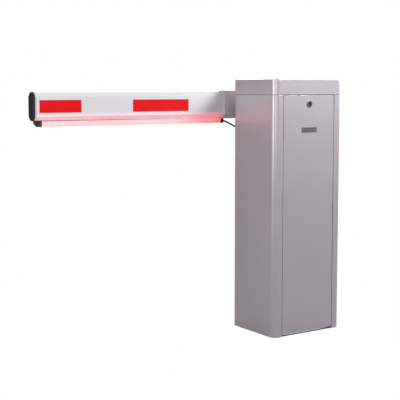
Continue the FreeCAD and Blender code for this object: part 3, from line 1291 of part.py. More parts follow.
# ---------------------------------------------------------------- checks and export
doc.recompute()
for item in doc.Objects:
    if "Invalid" in item.State or "Error" in item.State:
        raise RuntimeError(f"{item.Name} ({item.Label}) did not build: {item.State}")
for feature, least in (("entry_plan_pocket", entry_w * entry_d * base_thick),):
    item = doc.getObject(feature)
    gone = base_round.Shape.Volume - item.Shape.Volume
    if abs(gone - least.value) > 1:
        raise RuntimeError(f"{feature} cut {gone:.1f}, not {least.value:.1f}")
os.makedirs("parts", exist_ok=True)
for label, item in parts.items():
    shape = item.Shape
    if shape.isNull() or not shape.isValid() or not shape.Solids:
        raise RuntimeError(f"{label} is not a valid solid")
    print(f"{label}: {len(shape.Solids)} solid(s), {shape.Volume / 1000:.1f} cm3")
    shape.exportStep(f"parts/{label}.step")
print(f"{len(parts)} nodes")
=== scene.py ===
"""Looks for the parking barrier gate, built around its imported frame.  Metres, +Z up, boom towards -X."""
import math

import bmesh
import bpy
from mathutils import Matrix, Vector


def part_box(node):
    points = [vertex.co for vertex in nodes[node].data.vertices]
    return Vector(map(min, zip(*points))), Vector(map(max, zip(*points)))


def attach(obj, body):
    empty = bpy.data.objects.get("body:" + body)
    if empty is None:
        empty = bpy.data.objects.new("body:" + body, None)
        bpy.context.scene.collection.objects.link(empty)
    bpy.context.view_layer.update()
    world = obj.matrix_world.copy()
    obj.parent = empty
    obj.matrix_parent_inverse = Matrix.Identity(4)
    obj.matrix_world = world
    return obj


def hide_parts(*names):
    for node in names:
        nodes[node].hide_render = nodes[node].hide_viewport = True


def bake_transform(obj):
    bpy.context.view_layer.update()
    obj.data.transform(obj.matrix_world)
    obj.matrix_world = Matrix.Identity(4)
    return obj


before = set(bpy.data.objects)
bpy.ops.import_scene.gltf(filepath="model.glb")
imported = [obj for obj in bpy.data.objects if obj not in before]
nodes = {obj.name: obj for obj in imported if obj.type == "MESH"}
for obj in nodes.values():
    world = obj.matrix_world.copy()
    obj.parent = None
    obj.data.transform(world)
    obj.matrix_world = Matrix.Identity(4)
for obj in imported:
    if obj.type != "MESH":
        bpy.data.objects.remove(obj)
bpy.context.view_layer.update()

# ---------------------------------------------------------------- camera
# A long lens about four metres off, in front of the cabinet and out to the boom's side.
# The frame is shifted down a little, so the gate sits higher in it.
camera_data = bpy.data.cameras.new("camera")
camera_data.lens = 86.58
camera_data.sensor_width = 36
camera_data.shift_y = -0.05
camera_data.clip_end = 50
camera = bpy.data.objects.new("camera", camera_data)
bpy.context.collection.objects.link(camera)
camera_turn, camera_dip = math.radians(-33.97), math.radians(5.36)
looking = Vector(
    (
        -math.sin(camera_turn) * math.cos(camera_dip),
        math.cos(camera_turn) * math.cos(camera_dip),
        -math.sin(camera_dip),
    )
)
camera.location = (-2.445, -3.005, 0.959)
camera.rotation_euler = looking.to_track_quat("-Z", "Y").to_euler()
bpy.context.scene.camera = camera
bpy.context.scene.view_settings.view_transform = "Standard"

# ---------------------------------------------------------------- the boom light's lead
# A round black PVC lead, 6.5 mm thick, from the light's inner plug to the gland in the hub.
# It sags behind the cabinet, then turns up into the gland, and swings with the boom.
lead_route = [
    (-0.180, 0.1945, 0.836),
    (-0.158, 0.1945, 0.829),
    (-0.116, 0.1900, 0.807),
    (-0.060, 0.17035, 0.784),
    (0.000, 0.14735, 0.806),
    (0.000, 0.14735, 0.860),
]
lead_thick, lead_weld_gap = 0.0065, 0.00001
lead_curve = bpy.data.curves.new("lead", "CURVE")
lead_curve.dimensions = "3D"
lead_line = lead_curve.splines.new("NURBS")
lead_line.points.add(len(lead_route) - 1)
for point, place in zip(lead_line.points, lead_route):
    point.co = (*place, 1)
lead_line.order_u = 3
lead_line.use_endpoint_u = True
lead_line.resolution_u = 24
lead_former = bpy.data.objects.new("lead_former", lead_curve)
bpy.context.collection.objects.link(lead_former)
bpy.context.view_layer.update()
lead_middle = bpy.data.meshes.new_from_object(lead_former)
lead_curve.bevel_depth = lead_thick / 2
lead_curve.bevel_resolution = 5
lead_curve.use_fill_caps = True
bpy.context.view_layer.update()
lead_thickened = lead_former.evaluated_get(bpy.context.evaluated_depsgraph_get())
lead_tube = bpy.data.meshes.new_from_object(lead_thickened)
lead_tube.name = "lead"
bpy.data.objects.remove(lead_former)
lead_weld = bmesh.new()
lead_weld.from_mesh(lead_tube)
bmesh.ops.remove_doubles(lead_weld, verts=lead_weld.verts, dist=lead_weld_gap)
bmesh.ops.recalc_face_normals(lead_weld, faces=lead_weld.faces)
lead_weld.to_mesh(lead_tube)
lead_weld.free()
lead_tube.shade_smooth()
lead = bpy.data.objects.new("lead", lead_tube)
bpy.context.collection.objects.link(lead)
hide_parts("light_lead")
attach(lead, "boom")

# ---------------------------------------------------------------- cabinet sheet metal
# Two millimetre steel sheet, folded, welded and powder coated in a satin warm silver-grey.
# The coat has fine metallic flakes and orange peel, and is rubbed a little brighter on its edges.


def surface_group():
    """A node group that varies one finish: mottling, grain, rubbed edges, softened edges and bump."""
    tree = bpy.data.node_groups.new("surface_finish", "ShaderNodeTree")
    for label, kind, value in (
        ("Colour", "NodeSocketColor", (0.5, 0.5, 0.5, 1)),
        ("Worn colour", "NodeSocketColor", (0.7, 0.7, 0.7, 1)),
        ("Grain size", "NodeSocketFloat", 0.001),
        ("Mottle size", "NodeSocketFloat", 0.05),
        ("Mottle", "NodeSocketFloat", 0.05),
        ("Wear", "NodeSocketFloat", 0.3),
        ("Roughness", "NodeSocketFloat", 0.4),
        ("Roughness spread", "NodeSocketFloat", 0.1),
        ("Bump", "NodeSocketFloat", 0.1),
        ("Edge", "NodeSocketFloat", 0.001),
        ("Stretch", "NodeSocketVector", (1, 1, 1)),
    ):
        socket = tree.interface.new_socket(label, in_out="INPUT", socket_type=kind)
        socket.default_value = value
    tree.interface.new_socket("Colour", in_out="OUTPUT", socket_type="NodeSocketColor")
    tree.interface.new_socket("Roughness", in_out="OUTPUT", socket_type="NodeSocketFloat")
    tree.interface.new_socket("Normal", in_out="OUTPUT", socket_type="NodeSocketVector")
    make, tie = tree.nodes.new, tree.links.new
    given, out = make("NodeGroupInput"), make("NodeGroupOutput")
    where = make("ShaderNodeTexCoord")
    stretched = make("ShaderNodeVectorMath")
    stretched.operation = "MULTIPLY"
    tie(where.outputs["Object"], stretched.inputs[0])
    tie(given.outputs["Stretch"], stretched.inputs[1])

    def noise(size_name, detail):
        node = make("ShaderNodeTexNoise")
        node.inputs["Detail"].default_value = detail
        turned = make("ShaderNodeMath")
        turned.operation = "DIVIDE"
        turned.inputs[0].default_value = 1
        tie(given.outputs[size_name], turned.inputs[1])
        tie(turned.outputs[0], node.inputs["Scale"])
        tie(stretched.outputs[0], node.inputs["Vector"])
        return node

    grain, mottle = noise("Grain size", 2), noise("Mottle size", 5)
    # mottled colour: the coat's own colour made a little lighter and darker
    shade = make("ShaderNodeMath")
    shade.operation = "SUBTRACT"
    shade.inputs[1].default_value = 0.5
    tie(mottle.outputs["Fac"], shade.inputs[0])
    both = make("ShaderNodeMath")
    both.operation = "ADD"
    fine = make("ShaderNodeMath")
    fine.operation = "SUBTRACT"
    fine.inputs[1].default_value = 0.5
    tie(grain.outputs["Fac"], fine.inputs[0])
    tie(shade.outputs[0], both.inputs[0])
    tie(fine.outputs[0], both.inputs[1])
    lift = make("ShaderNodeMath")
    lift.operation = "MULTIPLY_ADD"
    lift.inputs[2].default_value = 1
    tie(both.outputs[0], lift.inputs[0])
    tie(given.outputs["Mottle"], lift.inputs[1])
    tinted = make("ShaderNodeVectorMath")
    tinted.operation = "SCALE"
    tie(given.outputs["Colour"], tinted.inputs[0])
    tie(lift.outputs[0], tinted.inputs["Scale"])
    # edges: where the softened normal leaves the true one, the finish is rubbed
    soft = make("ShaderNodeBevel")
    soft.samples = 6
    tie(given.outputs["Edge"], soft.inputs["Radius"])
    true = make("ShaderNodeNewGeometry")
    facing = make("ShaderNodeVectorMath")
    facing.operation = "DOT_PRODUCT"
    tie(soft.outputs["Normal"], facing.inputs[0])
    tie(true.outputs["Normal"], facing.inputs[1])
    edge = make("ShaderNodeMapRange")
    edge.inputs["From Min"].default_value = 0.995
    edge.inputs["From Max"].default_value = 0.90
    tie(facing.outputs["Value"], edge.inputs["Value"])
    patchy = make("ShaderNodeMath")
    patchy.operation = "MULTIPLY"
    tie(edge.outputs["Result"], patchy.inputs[0])
    tie(mottle.outputs["Fac"], patchy.inputs[1])
    rubbed = make("ShaderNodeMath")
    rubbed.operation = "MULTIPLY"
    tie(patchy.outputs[0], rubbed.inputs[0])
    tie(given.outputs["Wear"], rubbed.inputs[1])
    worn = make("ShaderNodeMix")
    worn.data_type = "RGBA"
    tie(rubbed.outputs[0], worn.inputs["Factor"])
    tie(tinted.outputs[0], worn.inputs[6])
    tie(given.outputs["Worn colour"], worn.inputs[7])
    tie(worn.outputs[2], out.inputs["Colour"])
    dull = make("ShaderNodeMath")
    dull.operation = "MULTIPLY_ADD"
    tie(both.outputs[0], dull.inputs[0])
    tie(given.outputs["Roughness spread"], dull.inputs[1])
    tie(given.outputs["Roughness"], dull.inputs[2])
    tie(dull.outputs[0], out.inputs["Roughness"])
    raised = make("ShaderNodeBump")
    raised.inputs["Distance"].default_value = 0.0002
    tie(given.outputs["Bump"], raised.inputs["Strength"])
    tie(both.outputs[0], raised.inputs["Height"])
    tie(soft.outputs["Normal"], raised.inputs["Normal"])
    tie(raised.outputs["Normal"], out.inputs["Normal"])
    return tree


finish_tree = surface_group()


def finish(
    name, colour, metallic, roughness, grain=0.001, mottle=0.05, mottle_size=0.05, wear=0.3,
    worn=None, bump=0.1, spread=0.1, edge=0.001, coat=0.0, stretch=(1, 1, 1),
):
    """A material of one finish, with the values that make it a paint, a metal, a rubber or a plastic."""
    material = bpy.data.materials.new(name)
    material.use_nodes = True
    tree = material.node_tree
    shader = tree.nodes["Principled BSDF"]
    shader.inputs["Metallic"].default_value = metallic
    shader.inputs["Coat Weight"].default_value = coat
    shader.inputs["Coat Roughness"].default_value = 0.12
    varied = tree.nodes.new("ShaderNodeGroup")
    varied.node_tree = finish_tree
    varied.inputs["Colour"].default_value = (*colour, 1)
    lighter = worn or tuple(min(channel * 1.5 + 0.08, 1) for channel in colour)
    varied.inputs["Worn colour"].default_value = (*lighter, 1)
    for label, value in (
        ("Grain size", grain),
        ("Mottle size", mottle_size),
        ("Mottle", mottle),
        ("Wear", wear),
        ("Roughness", roughness),
        ("Roughness spread", spread),
        ("Bump", bump),
        ("Edge", edge),
        ("Stretch", stretch),
    ):
        varied.inputs[label].default_value = value
    tree.links.new(varied.outputs["Colour"], shader.inputs["Base Color"])
    tree.links.new(varied.outputs["Roughness"], shader.inputs["Roughness"])
    tree.links.new(varied.outputs["Normal"], shader.inputs["Normal"])
    material.diffuse_color = (*colour, 1)
    return material


def dress(material, *names):
    """Gives CAD nodes a finish on their objects, and leaves their meshes alone."""
    for name in names:
        for slot in nodes[name].material_slots:
            slot.link = "OBJECT"
            slot.material = material


cabinet_paint = finish(
    "cabinet_paint", (0.465, 0.425, 0.465), 0.35, 0.36, grain=0.0012, mottle=0.05, mottle_size=0.12,
    wear=0.35, bump=0.12, spread=0.06, edge=0.0022, coat=0.25,
)
dress(cabinet_paint, "cabinet_shell", "lid", "door_panel")

# ---------------------------------------------------------------- base plate, folded brackets and panels
# Five millimetre plate and thinner folded parts, zinc plated, with a blotchy spangle.
# They stand inside the cabinet and are bolted or welded to it.
zinc = finish(
    "zinc_plate", (0.52, 0.53, 0.54), 0.9, 0.38, grain=0.0016, mottle=0.22, mottle_size=0.012, wear=0.4,
    bump=0.15, spread=0.25, edge=0.0008,
)
dress(
    zinc, "base_plate", "frame_brackets", "mounting_panel", "din_rail", "door_pivot_blocks", "stop_brackets",
    "lock_cam", "sensor_cam",
)
plate_steel = finish(
    "ground_plate", (0.44, 0.45, 0.46), 0.9, 0.42, grain=0.0006, mottle=0.12, mottle_size=0.03, wear=0.5,
    bump=0.2, spread=0.2, edge=0.0008, stretch=(1, 1, 12),
)
dress(plate_steel, "frame_front_plate", "frame_rear_plate")

# ---------------------------------------------------------------- rubber gaskets, buffers, seals and caps
# Moulded black rubber with a faint bloom, matt and slightly pitted.
# The gasket and the door seal keep rain out; the caps close the boom's ends.
rubber = finish(
    "black_rubber", (0.016, 0.017, 0.022), 0.0, 0.62, grain=0.0008, mottle=0.35, mottle_size=0.02, wear=0.25,
    worn=(0.06, 0.06, 0.07), bump=0.35, spread=0.15, edge=0.0012,
)
dress(rubber, "lid_gasket", "door_seal", "stop_buffers", "shaft_seal")
cap_rubber = finish(
    "cap_rubber", (0.010, 0.011, 0.022), 0.0, 0.46, grain=0.0009, mottle=0.3, mottle_size=0.02, wear=0.4,
    worn=(0.10, 0.10, 0.14), bump=0.25, spread=0.15, edge=0.003,
)
cap_rubber.node_tree.nodes["Principled BSDF"].inputs["Specular IOR Level"].default_value = 0.22
dress(cap_rubber, "boom_caps")
lead_pvc = finish(
    "lead_sheath", (0.020, 0.020, 0.024), 0.0, 0.45, grain=0.0006, mottle=0.2, mottle_size=0.01, wear=0.0,
    bump=0.2, spread=0.1, edge=0.0003,
)
lead.data.materials.append(lead_pvc)

# ---------------------------------------------------------------- turned and ground steel
# Shafts, pins, bearings, bolts and spacers: bright steel with fine turning marks round their axes.
# They carry the boom and hold the drive frame together.
bright = finish(
    "turned_steel", (0.60, 0.60, 0.61), 1.0, 0.24, grain=0.0005, mottle=0.10, mottle_size=0.01, wear=0.2,
    bump=0.15, spread=0.18, edge=0.0006, stretch=(1, 8, 1),
)
dress(
    bright, "boom_shaft", "output_shaft", "lever_pin", "shaft_bearings", "frame_spacers", "frame_bolts",
    "lid_screws", "door_pins", "holder_bolts", "limit_sensors",
)
bronze = finish(
    "bush_bronze", (0.55, 0.34, 0.13), 1.0, 0.35, grain=0.0005, mottle=0.25, mottle_size=0.006, wear=0.2,
    bump=0.2, spread=0.2, edge=0.0004,
)
dress(bronze, "gearbox_bushes")
gear_steel = finish(
    "gear_steel", (0.34, 0.33, 0.32), 1.0, 0.30, grain=0.0006, mottle=0.30, mottle_size=0.015, wear=0.7,
    worn=(0.72, 0.71, 0.70), bump=0.15, spread=0.25, edge=0.0004,
)
dress(gear_steel, "output_gear", "idler_gear", "motor_rotor")

# ---------------------------------------------------------------- forged levers and the link rod
# Flame-cut steel, blackened, with bright rubbed rims.
# They carry the crank's turn up to the boom shaft.
black_steel = finish(
    "blackened_steel", (0.035, 0.036, 0.040), 0.7, 0.42, grain=0.0010, mottle=0.35, mottle_size=0.02,
    wear=0.8, worn=(0.32, 0.31, 0.30), bump=0.3, spread=0.2, edge=0.0010,
)
dress(black_steel, "crank_arm", "boom_lever", "link_rod", "stop_lever")

# ---------------------------------------------------------------- castings
# Die-cast alloy, sand-blasted: the gearbox case and the bearing housings.
# They are bolted to the drive frame's plates.
casting = finish(
    "cast_alloy", (0.50, 0.50, 0.51), 0.85, 0.52, grain=0.0014, mottle=0.18, mottle_size=0.02, wear=0.5,
    bump=0.6, spread=0.15, edge=0.0016,
)
dress(casting, "gearbox_case", "bearing_housings")

# ---------------------------------------------------------------- motor and hand wheel
# A dark enamelled motor shell with its end cap, and a red moulded wheel for raising the boom by hand.
# The wheel sits on the tail of the motor's shaft.
motor_enamel = finish(
    "motor_enamel", (0.035, 0.045, 0.065), 0.1, 0.34, grain=0.0012, mottle=0.15, mottle_size=0.02, wear=0.5,
    worn=(0.30, 0.31, 0.33), bump=0.3, spread=0.1, edge=0.0014, coat=0.2,
)
dress(motor_enamel, "motor_shell", "motor_end_cap")
wheel_red = finish(
    "wheel_red", (0.55, 0.02, 0.015), 0.0, 0.40, grain=0.0012, mottle=0.12, mottle_size=0.01, wear=0.4,
    bump=0.3, spread=0.12, edge=0.0014,
)
dress(wheel_red, "hand_wheel")

# ---------------------------------------------------------------- control box, breaker and terminals
# Light grey moulded plastic with a fine spark-eroded texture.
# They sit on the mounting panel and its rail.
grey_plastic = finish(
    "grey_plastic", (0.46, 0.47, 0.48), 0.0, 0.48, grain=0.0007, mottle=0.06, mottle_size=0.03, wear=0.2,
    bump=0.35, spread=0.08, edge=0.0012,
)
dress(grey_plastic, "control_box", "control_box_cover", "circuit_breaker", "terminal_block")

# ---------------------------------------------------------------- terminal and cover screws
# Slotted zinc-plated screws, two on each terminal and one in each corner of the control box's cover.
# Their heads stand a little proud of the plastic they hold.
screw_tree = bpy.data.node_groups.new("screw_field", "GeometryNodeTree")
for label, kind, value in (
    ("Columns", "NodeSocketInt", 12),
    ("Rows", "NodeSocketInt", 2),
    ("Wide", "NodeSocketFloat", 0.13),
    ("Tall", "NodeSocketFloat", 0.03),
    ("Middle", "NodeSocketVector", (0, 0, 0)),
    ("Head radius", "NodeSocketFloat", 0.0028),
    ("Head height", "NodeSocketFloat", 0.0016),
    ("Slot", "NodeSocketFloat", 0.0008),
    ("Finish", "NodeSocketMaterial", None),
):
    socket = screw_tree.interface.new_socket(label, in_out="INPUT", socket_type=kind)
    if value is not None:
        socket.default_value = value
screw_tree.interface.new_socket("Screws", in_out="OUTPUT", socket_type="NodeSocketGeometry")
add_node, join = screw_tree.nodes.new, screw_tree.links.new
screw_given, screw_out = add_node("NodeGroupInput"), add_node("NodeGroupOutput")
screw_grid = add_node("GeometryNodeMeshGrid")
join(screw_given.outputs["Columns"], screw_grid.inputs["Vertices X"])
join(screw_given.outputs["Rows"], screw_grid.inputs["Vertices Y"])
join(screw_given.outputs["Wide"], screw_grid.inputs["Size X"])
join(screw_given.outputs["Tall"], screw_grid.inputs["Size Y"])
screw_stood = add_node("GeometryNodeTransform")
screw_stood.inputs["Rotation"].default_value = (math.radians(90), 0, 0)
join(screw_grid.outputs["Mesh"], screw_stood.inputs["Geometry"])
join(screw_given.outputs["Middle"], screw_stood.inputs["Translation"])
screw_spots = add_node("GeometryNodeMeshToPoints")
join(screw_stood.outputs["Geometry"], screw_spots.inputs["Mesh"])
screw_head = add_node("GeometryNodeMeshCylinder")
screw_head.inputs["Vertices"].default_value = 20
join(screw_given.outputs["Head radius"], screw_head.inputs["Radius"])
join(screw_given.outputs["Head height"], screw_head.inputs["Depth"])
slot_overrun = 2.4  # the cutter's length in head radii, so it runs past both sides
slot_size = add_node("ShaderNodeCombineXYZ")
slot_long = add_node("ShaderNodeMath")
slot_long.operation = "MULTIPLY"
slot_long.inputs[1].default_value = slot_overrun
join(screw_given.outputs["Head radius"], slot_long.inputs[0])
join(slot_long.outputs[0], slot_size.inputs["X"])
join(screw_given.outputs["Slot"], slot_size.inputs["Y"])
join(screw_given.outputs["Slot"], slot_size.inputs["Z"])
slot_block = add_node("GeometryNodeMeshCube")
join(slot_size.outputs["Vector"], slot_block.inputs["Size"])
slot_raised = add_node("GeometryNodeTransform")
slot_lift = add_node("ShaderNodeCombineXYZ")
slot_half = add_node("ShaderNodeMath")
slot_half.operation = "MULTIPLY"
slot_half.inputs[1].default_value = 0.5
join(screw_given.outputs["Head height"], slot_half.inputs[0])
join(slot_half.outputs[0], slot_lift.inputs["Z"])
join(slot_block.outputs["Mesh"], slot_raised.inputs["Geometry"])
join(slot_lift.outputs["Vector"], slot_raised.inputs["Translation"])
slot_cut = add_node("GeometryNodeMeshBoolean")
slot_cut.operation = "DIFFERENCE"
join(screw_head.outputs["Mesh"], slot_cut.inputs["Mesh 1"])
join(slot_raised.outputs["Geometry"], slot_cut.inputs["Mesh 2"])
slot_turn = add_node("FunctionNodeRandomValue")
slot_turn.data_type = "FLOAT"
slot_turn.inputs[2].default_value = 0.0
slot_turn.inputs[3].default_value = math.pi
slot_turn.inputs["Seed"].default_value = 7
slot_angle = add_node("ShaderNodeCombineXYZ")
slot_angle.inputs["X"].default_value = math.radians(90)
join(slot_turn.outputs[1], slot_angle.inputs["Y"])
screw_placed = add_node("GeometryNodeInstanceOnPoints")
join(screw_spots.outputs["Points"], screw_placed.inputs["Points"])
join(slot_cut.outputs["Mesh"], screw_placed.inputs["Instance"])
join(slot_angle.outputs["Vector"], screw_placed.inputs["Rotation"])
screw_real = add_node("GeometryNodeRealizeInstances")
join(screw_placed.outputs["Instances"], screw_real.inputs["Geometry"])
screw_dressed = add_node("GeometryNodeSetMaterial")
join(screw_real.outputs["Geometry"], screw_dressed.inputs["Geometry"])
join(screw_given.outputs["Finish"], screw_dressed.inputs["Material"])
join(screw_dressed.outputs["Geometry"], screw_out.inputs["Screws"])
screw_inputs = {
    item.name: item.identifier for item in screw_tree.interface.items_tree if item.in_out == "INPUT"
}
terminal_low, terminal_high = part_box("terminal_block")
cover_low, cover_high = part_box("control_box_cover")
terminal_wide, screw_inset, screw_proud = 0.0116, 0.009, 0.0006
for screw_name, columns, rows, low, high, inset_x, inset_z, head_r in (
    ("terminal_screws", 12, 2, terminal_low, terminal_high, terminal_wide / 2, screw_inset, 0.0032),
    ("cover_screws", 2, 2, cover_low, cover_high, screw_inset, screw_inset, 0.0042),
):
    screw_data = bpy.data.meshes.new(screw_name)
    screw_field = bpy.data.objects.new(screw_name, screw_data)
    bpy.context.collection.objects.link(screw_field)
    screw_maker = screw_field.modifiers.new("screws", "NODES")
    screw_maker.node_group = screw_tree
    for label, value in (
        ("Columns", columns),
        ("Rows", rows),
        ("Wide", high.x - low.x - inset_x * 2),
        ("Tall", high.z - low.z - inset_z * 2),
        ("Middle", ((low.x + high.x) / 2, low.y - screw_proud, (low.z + high.z) / 2)),
        ("Head radius", head_r),
        ("Finish", zinc),
    ):
        screw_maker[screw_inputs[label]] = value
    bpy.context.view_layer.update()
    screws_made = screw_field.evaluated_get(bpy.context.evaluated_depsgraph_get())
    screw_mesh = bpy.data.meshes.new_from_object(screws_made)
    screw_mesh.name = screw_name
    screw_field.modifiers.remove(screw_maker)
    screw_field.data = screw_mesh
    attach(screw_field, "cabinet")

# ---------------------------------------------------------------- lock and plate
# A nickel-plated cam lock with a darker key plug, and a brushed blank plate under it.
# The plate carries no lettering.
lock_plate = finish(
    "lock_nickel", (0.36, 0.355, 0.37), 0.9, 0.26, grain=0.0003, mottle=0.12, mottle_size=0.003, wear=0.6,
    worn=(0.75, 0.75, 0.76), bump=0.1, spread=0.15, edge=0.0008,
)
dress(lock_plate, "lock_barrel")
plug_dark = finish(
    "plug_dark", (0.035, 0.032, 0.04), 0.8, 0.35, grain=0.0002, mottle=0.2, mottle_size=0.002, wear=0.4,
    bump=0.15, spread=0.15, edge=0.0004,
)
dress(plug_dark, "lock_plug")
blank_plate = finish(
    "blank_plate", (0.20, 0.19, 0.20), 0.6, 0.35, grain=0.0004, mottle=0.10, mottle_size=0.01, wear=0.3,
    bump=0.15, spread=0.15, edge=0.0004, stretch=(0.05, 1, 1),
)
dress(blank_plate, "name_plate")

# ---------------------------------------------------------------- boom and its holder
# The boom is an eight-sided aluminium profile, powder coated white with fine draw lines along it.
# Its lower facets glow red, as the light under it makes them; that light is put in their paint.
# The holder is a two-part grey clamp, bolted through the boom to the hub flange.
boom_white = finish(
    "boom_white", (0.565, 0.565, 0.585), 0.05, 0.38, grain=0.0010, mottle=0.035, mottle_size=0.05, wear=0.2,
    worn=(0.86, 0.86, 0.88), bump=0.10, spread=0.06, edge=0.0014, coat=0.1, stretch=(0.15, 1, 1),
)
lit_tree = boom_white.node_tree
lit_shader = lit_tree.nodes["Principled BSDF"]
lit_shader.inputs["Emission Strength"].default_value = 1.0
lit_where = lit_tree.nodes.new("ShaderNodeTexCoord")
lit_apart = lit_tree.nodes.new("ShaderNodeSeparateXYZ")
lit_tree.links.new(lit_where.outputs["Object"], lit_apart.inputs["Vector"])
boom_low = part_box("boom_profile")[0]
lit_top, lit_full = boom_low.z + 0.026, boom_low.z + 0.008
lit_end, lit_root, lit_begin = -0.184, -0.20, -0.215
lit_rise = lit_tree.nodes.new("ShaderNodeMapRange")
lit_rise.interpolation_type = "SMOOTHSTEP"
lit_rise.inputs["From Min"].default_value = lit_top
lit_rise.inputs["From Max"].default_value = lit_full
lit_tree.links.new(lit_apart.outputs["Z"], lit_rise.inputs["Value"])
lit_reach = lit_tree.nodes.new("ShaderNodeMapRange")
lit_reach.interpolation_type = "SMOOTHSTEP"
lit_reach.inputs["From Min"].default_value = lit_end
lit_reach.inputs["From Max"].default_value = lit_begin
lit_tree.links.new(lit_apart.outputs["X"], lit_reach.inputs["Value"])
lit_along = lit_tree.nodes.new("ShaderNodeMapRange")
lit_along.inputs["From Min"].default_value = boom_low.x
lit_along.inputs["From Max"].default_value = lit_root
lit_tree.links.new(lit_apart.outputs["X"], lit_along.inputs["Value"])
lit_ramp = lit_tree.nodes.new("ShaderNodeValToRGB")
lit_stops = lit_ramp.color_ramp.elements
lit_stops[0].color = (0.52, 0.20, 0.23, 1)
lit_stops[1].color = (0.72, 0.02, 0.03, 1)
lit_middle = lit_stops.new(0.75)
lit_middle.color = (0.55, 0.14, 0.17, 1)
lit_tree.links.new(lit_along.outputs["Result"], lit_ramp.inputs["Fac"])
lit_share = lit_tree.nodes.new("ShaderNodeMath")
lit_share.operation = "MULTIPLY"
lit_tree.links.new(lit_rise.outputs["Result"], lit_share.inputs[0])
lit_tree.links.new(lit_reach.outputs["Result"], lit_share.inputs[1])
lit_colour = lit_tree.nodes.new("ShaderNodeVectorMath")
lit_colour.operation = "SCALE"
lit_tree.links.new(lit_ramp.outputs["Color"], lit_colour.inputs[0])
lit_tree.links.new(lit_share.outputs[0], lit_colour.inputs["Scale"])
lit_tree.links.new(lit_colour.outputs[0], lit_shader.inputs["Emission Color"])
dress(boom_white, "boom_profile")
holder_grey = finish(
    "holder_grey", (0.56, 0.515, 0.54), 0.3, 0.42, grain=0.0012, mottle=0.08, mottle_size=0.04, wear=0.4,
    bump=0.2, spread=0.08, edge=0.0016,
)
dress(holder_grey, "holder_front", "holder_rear", "hub_flange")

# ---------------------------------------------------------------- reflective tapes
# Red retroreflective film, 46 mm wide, with sealed honeycomb cells and a darker pressed rim.
# Two lengths are stuck on each side of the boom.
tape_red = bpy.data.materials.new("tape_red")
tape_red.use_nodes = True
tape_tree = tape_red.node_tree
tape_shader = tape_tree.nodes["Principled BSDF"]
tape_shader.inputs["Roughness"].default_value = 0.45
tape_shader.inputs["Specular IOR Level"].default_value = 0.15
tape_where = tape_tree.nodes.new("ShaderNodeTexCoord")
tape_cells = tape_tree.nodes.new("ShaderNodeTexVoronoi")
tape_cells.feature = "DISTANCE_TO_EDGE"
tape_cells.inputs["Scale"].default_value = 420
tape_cells.inputs["Randomness"].default_value = 0.25
tape_tree.links.new(tape_where.outputs["Object"], tape_cells.inputs["Vector"])
tape_ramp = tape_tree.nodes.new("ShaderNodeValToRGB")
tape_ramp.color_ramp.elements[0].color = (0.46, 0.001, 0.003, 1)
tape_ramp.color_ramp.elements[1].position = 0.12
tape_ramp.color_ramp.elements[1].color = (0.64, 0.001, 0.004, 1)
tape_tree.links.new(tape_cells.outputs["Distance"], tape_ramp.inputs["Fac"])
tape_apart = tape_tree.nodes.new("ShaderNodeSeparateXYZ")
tape_tree.links.new(tape_where.outputs["Object"], tape_apart.inputs["Vector"])
tape_low, tape_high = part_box("reflective_tapes")
tape_half = (tape_high.z - tape_low.z) / 2
rim_starts, rim_full = 0.0022, 0.0010
tape_mid = tape_tree.nodes.new("ShaderNodeMath")
tape_mid.operation = "SUBTRACT"
tape_mid.inputs[1].default_value = (tape_low.z + tape_high.z) / 2
tape_tree.links.new(tape_apart.outputs["Z"], tape_mid.inputs[0])
tape_side = tape_tree.nodes.new("ShaderNodeMath")
tape_side.operation = "ABSOLUTE"
tape_tree.links.new(tape_mid.outputs[0], tape_side.inputs[0])
tape_rim = tape_tree.nodes.new("ShaderNodeMapRange")
tape_rim.inputs["From Min"].default_value = tape_half - rim_starts
tape_rim.inputs["From Max"].default_value = tape_half - rim_full
tape_tree.links.new(tape_side.outputs[0], tape_rim.inputs["Value"])
tape_mix = tape_tree.nodes.new("ShaderNodeMix")
tape_mix.data_type = "RGBA"
tape_mix.inputs[7].default_value = (0.36, 0.03, 0.025, 1)
tape_tree.links.new(tape_rim.outputs["Result"], tape_mix.inputs["Factor"])
tape_tree.links.new(tape_ramp.outputs["Color"], tape_mix.inputs[6])
tape_tree.links.new(tape_mix.outputs[2], tape_shader.inputs["Base Color"])
tape_bump = tape_tree.nodes.new("ShaderNodeBump")
tape_bump.inputs["Strength"].default_value = 0.25
tape_bump.inputs["Distance"].default_value = 0.0002
tape_tree.links.new(tape_cells.outputs["Distance"], tape_bump.inputs["Height"])
tape_tree.links.new(tape_bump.outputs["Normal"], tape_shader.inputs["Normal"])
dress(tape_red, "reflective_tapes")

# ---------------------------------------------------------------- light under the boom
# A red-lit polycarbonate diffuser over an LED strip, in a shallow anodised rail.
# Each LED shows as a faint hot spot, and the light is weaker towards the holder.
rail_metal = finish(
    "rail_anodised", (0.66, 0.66, 0.68), 0.9, 0.30, grain=0.0005, mottle=0.06, mottle_size=0.02, wear=0.3,
    bump=0.1, spread=0.1, edge=0.0006, stretch=(0.05, 1, 1),
)
dress(rail_metal, "light_rail")
plug_black = finish(
    "plug_black", (0.016, 0.016, 0.022), 0.0, 0.40, grain=0.0008, mottle=0.2, mottle_size=0.01, wear=0.3,
    bump=0.3, spread=0.1, edge=0.0014,
)
dress(plug_black, "light_plugs", "lead_gland")
glow = bpy.data.materials.new("diffuser_glow")
glow.use_nodes = True
glow_tree = glow.node_tree
glow_shader = glow_tree.nodes["Principled BSDF"]
glow_shader.inputs["Base Color"].default_value = (0.80, 0.22, 0.23, 1)
glow_shader.inputs["Roughness"].default_value = 0.35
glow_shader.inputs["Emission Strength"].default_value = 1.0
glow_where = glow_tree.nodes.new("ShaderNodeTexCoord")
glow_apart = glow_tree.nodes.new("ShaderNodeSeparateXYZ")
glow_tree.links.new(glow_where.outputs["Object"], glow_apart.inputs["Vector"])
glow_tip, glow_root = -0.98, -0.19
